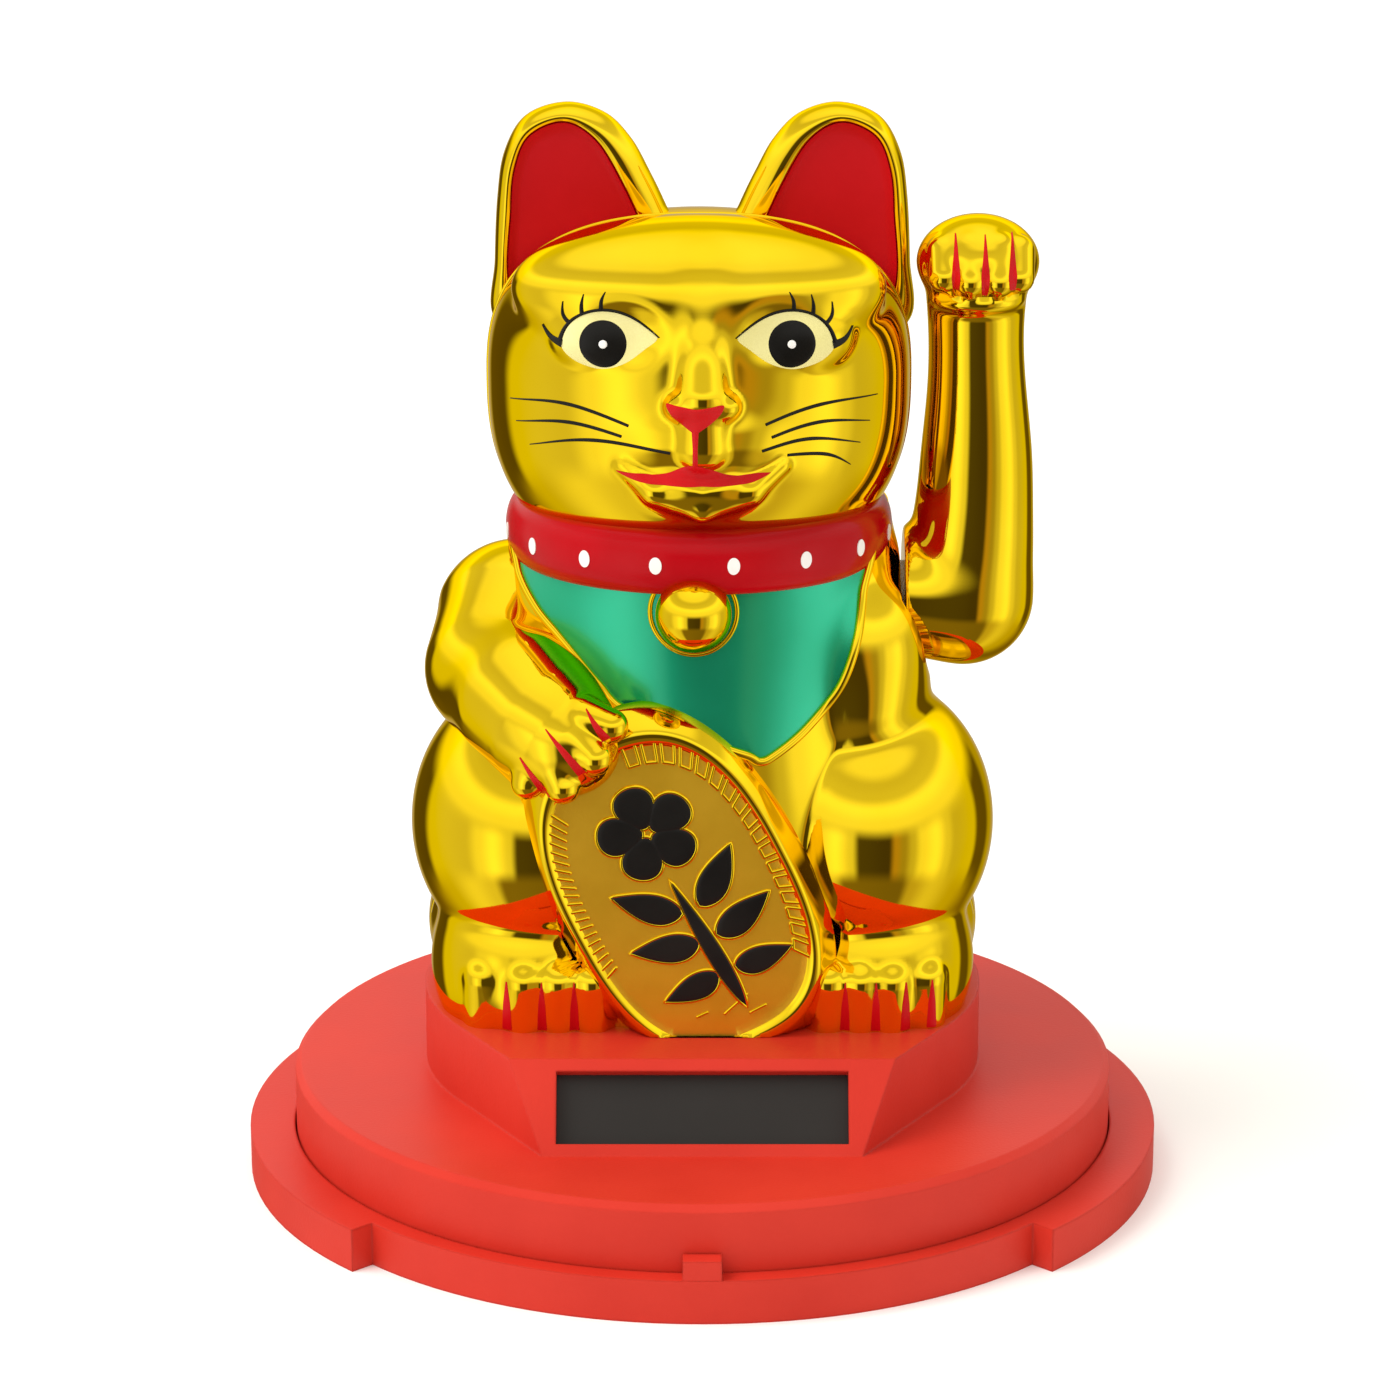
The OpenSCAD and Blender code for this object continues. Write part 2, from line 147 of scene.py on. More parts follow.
@dataclass(frozen=True)
class Ball:
    """A stretched ball; a power above 2 makes it squarer from pole to equator."""

    centre: Vec
    radii: Vec
    blend: float = 3.0
    power: float = 2.0
    turn: float = 0.0
    hollow: bool = False

    def distance(self, p: np.ndarray) -> np.ndarray:
        """Distance to first order: (F - 1) / |grad F| with F the scaled radius."""
        q = p - np.asarray(self.centre)
        if self.turn:
            c, s = math.cos(math.radians(self.turn)), math.sin(math.radians(self.turn))
            q = np.stack([c * q[..., 0] + s * q[..., 2], q[..., 1],
                          c * q[..., 2] - s * q[..., 0]], -1)
        a, b, c = self.radii
        n = self.power
        flat = (q[..., 0] / a) ** 2 + (q[..., 1] / b) ** 2 + 1e-9
        tall = np.abs(q[..., 2] / c) + 1e-9
        total = flat ** (n / 2.0) + tall**n
        scaled = total ** (1.0 / n)
        lead = total ** (1.0 / n - 1.0)
        across = flat ** (n / 2.0 - 1.0)
        slope = lead * np.sqrt((across * q[..., 0] / a**2) ** 2
                               + (across * q[..., 1] / b**2) ** 2
                               + (tall ** (n - 1.0) / c) ** 2)
        return (scaled - 1.0) / np.maximum(slope, 1e-6)


@dataclass(frozen=True)
class Dome(Ball):
    """A stretched ball whose lower half has its own height."""

    drop: float = 1.0

    def __init__(self, centre: Vec, radii: Vec, drop: float, power: float) -> None:
        """Keep the upper radii and the lower height."""
        super().__init__(centre, radii, 3.0, power)
        object.__setattr__(self, "drop", drop)

    def distance(self, p: np.ndarray) -> np.ndarray:
        """Squeeze the part below the middle, then measure as for a ball."""
        q = p - np.asarray(self.centre)
        tall = q[..., 2]
        q = np.concatenate([q[..., :2], np.where(
            tall < 0.0, tall * self.radii[2] / self.drop, tall)[..., None]], -1)
        return Ball((0.0, 0.0, 0.0), self.radii, 3.0, self.power).distance(q)


@dataclass(frozen=True)
class Limb:
    """A rounded limb between two balls."""

    start: Vec
    start_r: float
    end: Vec
    end_r: float
    blend: float = 2.0
    hollow: bool = False

    def distance(self, p: np.ndarray) -> np.ndarray:
        """Distance to the axis less the radius, which runs evenly along it."""
        a, b = np.asarray(self.start), np.asarray(self.end)
        axis = b - a
        along = np.clip((p - a) @ axis / (axis @ axis), 0.0, 1.0)
        off = p - a - along[..., None] * axis
        radius = self.start_r + (self.end_r - self.start_r) * along
        return np.sqrt((off**2).sum(-1)) - radius


@dataclass(frozen=True)
class Stalk:
    """An upright limb whose middle and radius follow curves over the height."""

    heights: tuple[float, ...]
    middles: tuple[float, ...]
    radii: tuple[float, ...]
    blend: float = 3.0
    hollow: bool = False

    def distance(self, p: np.ndarray) -> np.ndarray:
        """Distance to the nearest height of the axis less the radius there."""
        tall = np.clip(p[..., 2], self.heights[0], self.heights[-1])
        x = p[..., 0] - natural_spline(self.heights, self.middles)(tall)
        off = np.sqrt(x**2 + p[..., 1] ** 2 + (p[..., 2] - tall) ** 2)
        return off - natural_spline(self.heights, self.radii)(tall)


@dataclass(frozen=True)
class Column:
    """An upright oval column whose half axes follow curves over the height."""

    heights: tuple[float, ...]
    widths: tuple[float, ...]
    depths: tuple[float, ...]
    middles: tuple[float, ...]
    blend: float = 3.0
    hollow: bool = False

    def distance(self, p: np.ndarray) -> np.ndarray:
        """Distance in plan: (F - 1) / |grad F| with F the scaled radius."""
        width = natural_spline(self.heights, self.widths)(p[..., 2])
        depth = natural_spline(self.heights, self.depths)(p[..., 2])
        y = p[..., 1] - natural_spline(self.heights, self.middles)(p[..., 2])
        scaled = np.sqrt((p[..., 0] / width) ** 2 + (y / depth) ** 2) + 1e-6
        slope = np.sqrt((p[..., 0] / width**2) ** 2 + (y / depth**2) ** 2) / scaled
        return (scaled - 1.0) / np.maximum(slope, 1e-4)


@dataclass(frozen=True)
class Pocket:
    """A round recess that opens towards +X, for the turning arm."""

    axis_z: float
    radius: float
    face_x: float
    blend: float = 0.8
    hollow: bool = True

    def distance(self, p: np.ndarray) -> np.ndarray:
        """Distance to the round bar that is taken away."""
        off = np.sqrt(p[..., 1] ** 2 + (p[..., 2] - self.axis_z) ** 2) - self.radius
        return np.maximum(off, self.face_x - p[..., 0])


@dataclass(frozen=True)
class Cut:
    """The half space on the far side of a plane, for cutting flats."""

    toward: Vec
    offset: float
    blend: float = 0.6
    hollow: bool = True

    def distance(self, p: np.ndarray) -> np.ndarray:
        """Signed distance, negative on the side that is taken away."""
        return p @ np.asarray(self.toward) - self.offset


@dataclass
class Form:
    """Several solids joined in order, each with its own fillet."""

    parts: list[Solid]
    steps: int = 90
    stride: float = 0.75
    touch: float = 2e-3
    probe: float = 0.01
    least_slope: float = 0.15
    settle: float = 0.2

    def distance(self, p: np.ndarray) -> np.ndarray:
        """Join the distances; a hollow part is cut away instead of added."""
        total = self.parts[0].distance(p)
        for part in self.parts[1:]:
            here = part.distance(p)
            if part.hollow:
                total = -smooth_min(-total, here, part.blend)
            else:
                total = smooth_min(total, here, part.blend)
        return total

    def normal(self, p: np.ndarray, step: float = 0.02) -> np.ndarray:
        """Outward unit normal from central differences of the distance."""
        grad = np.stack([
            self.distance(p + step * axis) - self.distance(p - step * axis)
            for axis in np.eye(3)], -1)
        return grad / np.linalg.norm(grad, axis=-1, keepdims=True)

    def cast(self, origin: np.ndarray, direction: np.ndarray, reach: float) -> np.ndarray:
        """Find where rays first meet the form when they come in from outside.

        Each ray steps inwards by most of its distance until it touches, then
        three secant steps settle it.

        Args:
            origin: Inner end of each ray.
            direction: Unit direction of each ray, pointing outwards.
            reach: How far out the rays start.

        Returns:
            The point of contact of each ray.
        """
        shape = direction.shape[:-1]
        o = np.broadcast_to(origin, direction.shape).reshape(-1, 3)
        d = direction.reshape(-1, 3)
        t = np.full(len(d), float(reach))
        live = np.arange(len(d))
        for _ in range(self.steps):
            gap = self.distance(o[live] + t[live, None] * d[live])
            t[live] = np.maximum(t[live] - self.stride * gap, 0.0)
            live = live[(gap > self.touch) & (t[live] > 0.0)]
            if not len(live):
                break
        for _ in range(3):
            here = self.distance(o + t[:, None] * d)
            ahead = self.distance(o + (t + self.probe)[:, None] * d)
            slope = np.maximum((ahead - here) / self.probe, self.least_slope)
            t -= np.clip(here / slope, -self.settle, self.settle)
        return (o + t[:, None] * d).reshape(*shape, 3)


# ------------------------------------------------------------ mesh making
def grid_faces(rows: int, cols: int, start: int = 0, wrap: bool = False) -> np.ndarray:
    """Quads of a grid of points stored row by row.

    Args:
        rows: Number of rows.
        cols: Number of points in a row.
        start: Index of the first point.
        wrap: Whether the last column joins the first.

    Returns:
        An array of four indices for each quad.
    """
    r = np.arange(rows - 1)[:, None]
    c = np.arange(cols if wrap else cols - 1)[None, :]
    nxt = (c + 1) % cols
    quad = [r * cols + c, r * cols + nxt, (r + 1) * cols + nxt, (r + 1) * cols + c]
    return start + np.stack([np.broadcast_to(q, (rows - 1, c.shape[1])) for q in quad],
                            -1).reshape(-1, 4)


def make_piece(name: str, points: np.ndarray, faces: np.ndarray,
               sharp: float = 60.0) -> bpy.types.Object:
    """Make a closed mesh object, seams and poles merged, faces outwards.

    Args:
        name: Name of the piece.
        points: Points in millimetres.
        faces: Quads, one row each.
        sharp: Angle in degrees past which an edge is shaded sharp.

    Returns:
        The linked object.
    """
    unique, back = np.unique(np.round(points.reshape(-1, 3), 5), axis=0, return_inverse=True)
    quads = back.reshape(-1)[faces]
    first, second, third, last = (unique[quads[:, i]] for i in range(4))
    volume = (np.cross(first, second) * third).sum() + (np.cross(first, third) * last).sum()
    if volume < 0.0:
        quads = quads[:, ::-1]
    polys = quads.tolist()
    for i in np.flatnonzero((quads == np.roll(quads, 1, axis=1)).any(axis=1)):
        polys[i] = [v for k, v in enumerate(polys[i]) if v != polys[i][k - 1]]
    polys = [q for q in polys if len(q) > 2]
    mesh = bpy.data.meshes.new(name)
    mesh.from_pydata((unique * MM).tolist(), [], polys)
    mesh.polygons.foreach_set("use_smooth", np.ones(len(polys), bool))
    mesh.set_sharp_from_angle(angle=math.radians(sharp))
    mesh.update()
    obj = bpy.data.objects.new(name, mesh)
    bpy.context.scene.collection.objects.link(obj)
    return obj


def slab(outer: np.ndarray, inner: np.ndarray, wrap: bool = False) -> Shape:
    """Close the space between two grids of the same size.

    Args:
        outer: Grid of points, rows by columns by three.
        inner: Grid of points behind it.
        wrap: Whether the columns run all the way round.

    Returns:
        The points and quads of the closed slab.
    """
    rows, cols = outer.shape[:2]
    n = rows * cols
    faces = [grid_faces(rows, cols, 0, wrap), grid_faces(rows, cols, n, wrap)[:, ::-1]]
    index = np.arange(n).reshape(rows, cols)
    edges = [(index[0], True), (index[-1], False)]
    if not wrap:
        edges += [(index[:, 0], False), (index[:, -1], True)]
    for edge, flip in edges:
        nxt = np.roll(edge, -1) if wrap else edge[1:]
        cur = edge if wrap else edge[:-1]
        strip = np.stack([cur, nxt, nxt + n, cur + n], -1)
        faces.append(strip[:, ::-1] if flip else strip)
    return np.concatenate([outer.reshape(-1, 3), inner.reshape(-1, 3)]), np.concatenate(faces)


def plan_ray(degrees: np.ndarray, rise: np.ndarray) -> np.ndarray:
    """Unit rays at an angle in plan and a rise above the horizontal, in degrees."""
    a, r = np.radians(degrees), np.radians(rise)
    return np.stack([np.cos(a) * np.cos(r), np.sin(a) * np.cos(r),
                     np.sin(r) * np.ones_like(a)], -1)


def circle(count: int) -> np.ndarray:
    """Cosine and sine of even steps round a circle."""
    turn = TAU * np.arange(count) / count
    return np.stack([np.cos(turn), np.sin(turn)], -1)


def spun(flat: np.ndarray, degrees: float, middle: Spot = (0.0, 0.0)) -> np.ndarray:
    """Turn flat points anticlockwise about zero, then set them round a middle."""
    c, s = math.cos(math.radians(degrees)), math.sin(math.radians(degrees))
    return np.stack([middle[0] + c * flat[..., 0] - s * flat[..., 1],
                     middle[1] + s * flat[..., 0] + c * flat[..., 1]], -1)


def capsule_rows(rows: int, cap: int) -> tuple[np.ndarray, np.ndarray]:
    """Rows over a limb: a fan of rays at each end and even steps between.

    Args:
        rows: Number of rows.
        cap: Rows in each fan.

    Returns:
        The place along the limb from 0 to 1, and the lean of the ray in degrees.
    """
    middle = rows - 2 * cap
    along = np.concatenate([np.zeros(cap), np.linspace(0.0, 1.0, middle + 2)[1:-1], np.ones(cap)])
    lean = np.concatenate([np.linspace(-90.0, 0.0, cap), np.zeros(middle),
                           np.linspace(0.0, 90.0, cap)])
    return along, lean


# --------------------------------------------------------------- finishes
def add_node(tree: bpy.types.NodeTree, kind: str, inputs: dict[str, object] | None = None,
             **settings: object) -> bpy.types.Node:
    """Add a shader node.

    Args:
        tree: Tree it goes into.
        kind: Type of the node.
        inputs: A socket to link or a value to set, for each named input.
        settings: Properties of the node itself.

    Returns:
        The node.
    """
    node = tree.nodes.new(kind)
    for key, value in settings.items():
        setattr(node, key, value)
    set_inputs(tree, node, inputs or {})
    return node


def set_inputs(tree: bpy.types.NodeTree, node: bpy.types.Node,
               inputs: dict[str, object]) -> None:
    """Link the sockets and set the values given for a node's inputs."""
    for key, value in inputs.items():
        if isinstance(value, bpy.types.NodeSocket):
            tree.links.new(value, node.inputs[key])
        else:
            node.inputs[key].default_value = value


def add_ramp(tree: bpy.types.NodeTree, by: bpy.types.NodeSocket,
             stops: Sequence[tuple[float, Vec]], kind: str = "LINEAR") -> bpy.types.NodeSocket:
    """Add a colour ramp over rising stops and return its colour."""
    node = add_node(tree, "ShaderNodeValToRGB", {"Fac": by})
    node.color_ramp.interpolation = kind
    elements = node.color_ramp.elements
    while len(elements) < len(stops):
        elements.new(0.5)
    for element, (at, colour) in zip(elements, stops):
        element.position, element.color = at, (*colour, 1.0)
    return node.outputs["Color"]


class Slot(Enum):
    """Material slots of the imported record."""

    GOLD = "gold_shell"
    COIN = "coin_gold"
    BASE = "red_base"
    CELL = "solar_cell"
    SCREW = "screw_steel"
    PIN = "pin_steel"
    WEIGHT = "weight_steel"
    MAGNET = "magnet"
    IVORY = "ivory_plastic"
    LEAD = "lead_insulation"
    BOARD = "board_laminate"
    CAPACITOR = "capacitor_sleeve"
    RESIN = "black_resin"
    COPPER = "copper_wire"
    COLLAR = "collar_red"
    DOT = "collar_dot_white"
    BIB = "bib_green"
    EAR = "ear_red"
    RED_LINE = "line_red"
    BLACK_LINE = "line_black"
    EYE = "eye_cream"
    ENAMEL = "enamel_black"


@dataclass(frozen=True)
class Finish:
    """One moulded, plated or painted finish.

    Colours are linear RGB. Grain and wave heights are in millimetres, and
    their sizes are how many repeats fit in a metre.
    """

    slot: Slot
    dark: Vec
    light: Vec
    metallic: float = 0.0
    rough: tuple[float, float] = (0.3, 0.4)
    coat: float = 0.0
    grain: float = 0.0
    grain_scale: float = 4000.0
    wave: float = 0.0
    wave_scale: float = 120.0
    specular: float = 0.5
    edge: float = 0.0
    tint: Vec = (1.0, 1.0, 1.0)

    def build(self) -> bpy.types.Material:
        """Make the node material: mottled colour and roughness, grain and waviness."""
        mat = bpy.data.materials.new(self.slot.value)
        mat.use_nodes = True
        tree = mat.node_tree
        place = add_node(tree, "ShaderNodeTexCoord").outputs["Object"]
        mottle = self._noise(tree, place, self.wave_scale, 3.0)
        gloss = add_node(tree, "ShaderNodeMapRange", {
            "Value": mottle, "To Min": self.rough[0], "To Max": self.rough[1]})
        shader = tree.nodes["Principled BSDF"]
        set_inputs(tree, shader, {
            "Base Color": add_ramp(tree, mottle, ((0.3, self.dark), (0.7, self.light))),
            "Roughness": gloss.outputs["Result"],
            "Metallic": self.metallic,
            "Coat Weight": self.coat,
            "Coat Roughness": 0.06,
            "Specular IOR Level": self.specular,
            "Specular Tint": (*self.tint, 1.0)})
        self._relief(tree, place, shader)
        return mat

    def _relief(self, tree: bpy.types.NodeTree, place: bpy.types.NodeSocket,
                shader: bpy.types.Node) -> None:
        """Chain the soft edge, one bump for the long waviness and one for the fine grain."""
        last = None
        if self.edge > 0.0:
            last = add_node(tree, "ShaderNodeBevel", {"Radius": self.edge * MM}, samples=6)
        for height, scale, detail in ((self.wave, self.wave_scale, 1.0),
                                      (self.grain, self.grain_scale, 2.0)):
            if height > 0.0:
                bump = add_node(tree, "ShaderNodeBump", {
                    "Distance": height * MM, "Height": self._noise(tree, place, scale, detail)})
                if last:
                    set_inputs(tree, bump, {"Normal": last.outputs["Normal"]})
                last = bump
        if last:
            set_inputs(tree, shader, {"Normal": last.outputs["Normal"]})

    @staticmethod
    def _noise(tree: bpy.types.NodeTree, place: bpy.types.NodeSocket, scale: float,
               detail: float) -> bpy.types.NodeSocket:
        """Add a noise over the object's own coordinates."""
        return add_node(tree, "ShaderNodeTexNoise", {
            "Vector": place, "Scale": scale, "Detail": detail}).outputs["Fac"]


FINISHES = (
    Finish(Slot.GOLD, (0.90, 0.62, 0.012), (0.94, 0.66, 0.018), 1.0, (0.03, 0.07),
           wave=0.06, wave_scale=90.0, tint=(1.0, 0.80, 0.22)),
    Finish(Slot.COIN, (0.80, 0.48, 0.020), (0.86, 0.53, 0.028), 0.75, (0.38, 0.46),
           grain=0.03, grain_scale=2600.0, wave_scale=160.0),
    Finish(Slot.BASE, (0.56, 0.026, 0.014), (0.62, 0.034, 0.019), 0.0, (0.42, 0.52),
           grain=0.02, grain_scale=2600.0, wave_scale=60.0, specular=0.22, edge=0.5),
    Finish(Slot.CELL, (0.023, 0.021, 0.020), (0.026, 0.024, 0.023), 0.0, (0.26, 0.30),
           wave_scale=60.0, specular=0.2),
    Finish(Slot.SCREW, (0.55, 0.55, 0.54), (0.68, 0.68, 0.67), 1.0, (0.28, 0.42)),
    Finish(Slot.PIN, (0.66, 0.66, 0.67), (0.74, 0.74, 0.75), 1.0, (0.14, 0.24)),
    Finish(Slot.WEIGHT, (0.36, 0.36, 0.37), (0.48, 0.48, 0.49), 1.0, (0.38, 0.52)),
    Finish(Slot.MAGNET, (0.10, 0.10, 0.11), (0.16, 0.16, 0.17), 0.6, (0.5, 0.65)),
    Finish(Slot.IVORY, (0.74, 0.70, 0.60), (0.82, 0.78, 0.68), 0.0, (0.4, 0.5)),
    Finish(Slot.LEAD, (0.45, 0.02, 0.02), (0.55, 0.03, 0.03), 0.0, (0.35, 0.45)),
    Finish(Slot.BOARD, (0.02, 0.13, 0.04), (0.03, 0.18, 0.06), 0.0, (0.3, 0.45)),
    Finish(Slot.CAPACITOR, (0.02, 0.04, 0.12), (0.03, 0.06, 0.16), 0.0, (0.2, 0.3)),
    Finish(Slot.RESIN, (0.015, 0.015, 0.015), (0.03, 0.03, 0.03), 0.0, (0.5, 0.6)),
    Finish(Slot.COPPER, (0.55, 0.20, 0.07), (0.68, 0.28, 0.10), 1.0, (0.25, 0.4),
           grain=0.05, grain_scale=3000.0),
    Finish(Slot.COLLAR, (0.39, 0.0005, 0.004), (0.44, 0.001, 0.006), 0.0, (0.2, 0.28),
           coat=0.10, wave=0.04, specular=0.10),
    Finish(Slot.DOT, (0.82, 0.78, 0.76), (0.90, 0.88, 0.86), 0.0, (0.2, 0.3)),
    Finish(Slot.BIB, (0.008, 0.46, 0.24), (0.014, 0.52, 0.29), 0.75, (0.26, 0.32),
           coat=0.5, wave=0.03, wave_scale=70.0),
    Finish(Slot.EAR, (0.50, 0.001, 0.006), (0.58, 0.003, 0.010), 0.0, (0.42, 0.52),
           wave_scale=70.0, specular=0.15),
    Finish(Slot.RED_LINE, (0.48, 0.001, 0.003), (0.56, 0.002, 0.006), 0.0, (0.3, 0.4),
           specular=0.2),
    Finish(Slot.BLACK_LINE, (0.004, 0.0035, 0.003), (0.008, 0.007, 0.006), 0.0, (0.3, 0.4),
           specular=0.2),
    Finish(Slot.EYE, (0.74, 0.66, 0.24), (0.82, 0.75, 0.34), 0.0, (0.3, 0.4),
           specular=0.25),
    Finish(Slot.ENAMEL, (0.006, 0.006, 0.006), (0.012, 0.011, 0.010), 0.0, (0.35, 0.45),
           grain=0.01, specular=0.2),
)


class Workshop:
    """Builds the finishes once and hands finished pieces to the frame."""

    def __init__(self) -> None:
        """Build every finish."""
        self.materials = {finish.slot: finish.build() for finish in FINISHES}
        self.count = 0

    def add(self, name: str, shape: Shape, slot: Slot, *nodes: str, body: str = FIGURE,
            sharp: float = 60.0) -> None:
        """Make a piece, dress it, let it ride on a body and hide the CAD nodes it stands for.

        Args:
            name: Name of the piece.
            shape: Its points in millimetres and its quads.
            slot: Its material slot.
            nodes: CAD nodes that it stands for; the front shell if none is given.
            body: The moving body it belongs to.
            sharp: Angle in degrees past which an edge is shaded sharp.
        """
        piece = make_piece(name, *shape, sharp)
        piece.data.materials.append(self.materials[slot])
        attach(piece, body)
        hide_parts(*(nodes or (FRONT,)))
        self.count += 1
        LOG.info("%s: %d faces on %s", name, len(piece.data.polygons), body)

    def dress_nodes(self, frame: dict) -> None:
        """Give every carried-over CAD node the finish of its own slot."""
        slots = {row["node"]: row["material_slot"] for row in frame["record"]["subparts"]}
        for node, obj in frame["nodes"].items():
            material = self.materials[Slot(slots[node])]
            obj.data.materials.clear()
            obj.data.materials.append(material)


# ----------------------------------------------------------- the cat's form
@dataclass(frozen=True)
class CatShape:
    """Driving sizes of the figure, from the ground up."""

    floor: float = 22.5
    neck: float = 80.0
    head_middle: float = 97.0
    head_x: float = -0.4
    head_half_width: float = 24.55
    head_half_depth: float = 23.0
    crown_rise: float = 18.9
    chin_drop: float = 22.2
    axis_z: float = 71.0
    shoulder_x: float = 23.3

    def skull(self) -> list[Solid]:
        """Dome of the head, squarer from crown to cheek than a plain ball."""
        size = (self.head_half_width, self.head_half_depth)
        return [Dome((self.head_x, -0.5, self.head_middle), (*size, self.crown_rise),
                     self.chin_drop, power=2.6)]

    def face(self) -> list[Solid]:
        """Relief of the face: brow, sockets, nose, upper lip and lower jaw."""
        parts: list[Solid] = [
            Ball((self.head_x, -13.2, 110.3), (21.0, 9.4, 7.6), 8.0)]
        for s in (-1.0, 1.0):
            parts += [
                Ball((s * 11.2, -27.0, 106.5), (9.2, 6.1, 6.6), 1.1, hollow=True),
                Ball((s * 10.6, -16.9, 105.5), (6.6, 4.7, 4.9), 1.2),
            ]
        parts += [
            Limb((0.0, -19.0, 112.5), 2.6, (0.0, -21.4, 106.0), 2.3, 3.2),
            Limb((0.0, -21.4, 106.0), 2.3, (0.0, -23.7, 99.7), 2.9, 1.6),
            Ball((0.0, -19.0, 94.6), (9.0, 5.2, 4.6), 3.0),
            Limb((0.0, -22.6, 97.2), 3.2, (0.0, -22.2, 94.2), 3.5, 0.9),
            Ball((0.0, -19.9, 89.0), (7.6, 4.9, 3.6), 1.6),
        ]
        for s in (-1.0, 1.0):
            parts += [
                Ball((s * 2.5, -24.0, 98.7), (1.8, 1.8, 1.5), 1.4),
                Limb((s * 8.9, -21.2, 91.4), 1.0, (s * 5.4, -22.4, 88.7), 1.5, 1.0),
                Limb((s * 5.4, -22.4, 88.7), 1.5, (0.0, -22.8, 86.9), 1.6, 1.0),
                Limb((s * 8.6, -24.0, 91.2), 0.4, (0.0, -25.1, 90.4), 0.9, 0.8, hollow=True),
            ]
        return parts

    def head(self) -> Form:
        """Skull with the face."""
        return Form(self.skull() + self.face())

    def chest(self) -> Form:
        """Body with both thighs, the feet and the tail, without the bent arm."""
        parts: list[Solid] = [
            Column((20.0, 30.0, 40.0, 50.0, 60.0, 70.0, 78.0, 86.0),
                   (25.5, 26.0, 26.0, 24.0, 22.6, 23.4, 22.6, 21.0),
                   (20.6, 21.3, 22.1, 22.3, 21.6, 20.8, 20.0, 19.4),
                   (1.5, 1.5, 1.5, 1.4, 1.2, 0.8, 0.3, -0.2)),
        ]
        for s in (-1.0, 1.0):
            parts += [
                Ball((s * 14.5, 0.0, 68.0), (10.6, 13.0, 11.0), 4.0),
                Ball((s * 20.0, -3.4, 43.8), (14.6, 17.6, 17.0), 1.3),
                Ball((s * 21.5, 4.0, 29.5), (11.6, 17.0, 10.0), 2.0),
                *self.foot(s),
            ]
        parts += [Ball((18.3, -4.0, 60.5), (8.6, 12.0, 11.0), 3.0),
                  Ball((17.0, -8.5, 66.0), (8.7, 7.0, 9.5), 3.0)]
        parts += self.tail()
        parts.append(Pocket(self.axis_z, 9.8, self.shoulder_x))
        return Form(parts)

    def foot(self, side: float) -> list[Solid]:
        """A broad foot whose toes end in four upright lobes."""
        toes = {-1.0: (-12.9, -16.9, -20.9, -25.6), 1.0: (14.6, 18.5, 22.1, 26.2)}[side]
        parts: list[Solid] = [
            Ball((side * 21.0, -7.4, 27.6), (11.1, 12.2, 12.6), 1.6, 2.2),
            Limb((side * 25.2, -6.0, 27.0), 6.4, (side * 25.4, 8.0, 27.0), 7.0, 3.0),
        ]
        for i, x in enumerate(toes):
            back = 0.0 if i < 3 else 1.5
            parts.append(Limb((x, -18.1 + back, 28.4), 2.5, (x, -17.3 + back, 22.6), 2.4, 1.0))
        return parts

    def bent_arm(self) -> Form:
        """The lowered arm from the shoulder to the paw on the coin."""
        route = [((-21.8, -1.0, 67.4), 9.8), ((-23.7, -6.8, 63.4), 8.2),
                 ((-20.8, -13.8, 62.0), 7.6), ((-18.0, -18.0, 60.2), 6.9),
                 ((-15.4, -20.6, 58.6), 6.3)]
        limbs: list[Solid] = [
            Limb(a, ra, b, rb, 3.0 if i == 0 else 4.0)
            for i, ((a, ra), (b, rb)) in enumerate(zip(route, route[1:]))]
        fingers = [((-19.2, -21.8, 58.2), (-20.0, -22.6, 54.3)),
                   ((-17.2, -23.4, 58.4), (-15.9, -25.2, 54.6)),
                   ((-14.8, -24.0, 60.2), (-12.2, -25.8, 58.2)),
                   ((-13.6, -23.2, 62.2), (-10.4, -24.4, 61.6))]
        limbs += [Limb(a, 2.7, b, 2.0, 0.8) for a, b in fingers]
        return Form(limbs)

    def tail(self) -> list[Solid]:
        """A short tail laid round the back."""
        return [Limb((-4.0, 22.5, 27.0), 4.0, (7.0, 24.0, 29.0), 3.7, 1.5),
                Limb((7.0, 24.0, 29.0), 3.7, (14.0, 19.5, 36.0), 3.0, 1.5)]

    def raised_arm(self) -> Form:
        """The waving arm with its paw and curled toes."""
        z = self.axis_z
        parts: list[Solid] = [
            Stalk((z - 0.6, z + 4.0, z + 10.0, z + 17.0, z + 25.0, z + 33.0, z + 37.0),
                  (31.0, 31.4, 31.9, 32.1, 32.0, 31.8, 31.8),
                  (7.9, 7.6, 7.0, 6.5, 5.75, 5.65, 6.0), 1.0),
            Limb((22.0, 0.0, z), 7.7, (30.6, 0.0, z - 0.6), 7.8, 2.5),
            Ball((31.85, -0.9, z + 39.6), (7.1, 6.8, 5.5), 1.2),
            Ball((31.8, -2.6, z + 35.6), (5.5, 4.6, 1.9), 0.8),
        ]
        for x, reach in ((27.7, 0.1), (30.7, 1.0), (34.0, 1.0), (36.3, 0.2)):
            parts.append(Limb((x, -3.7 - reach, z + 41.3 + 0.6 * reach), 1.9,
                              (x, -5.6 - reach, z + 38.7 - 0.4 * reach), 1.8, 0.6))
        return Form(parts)


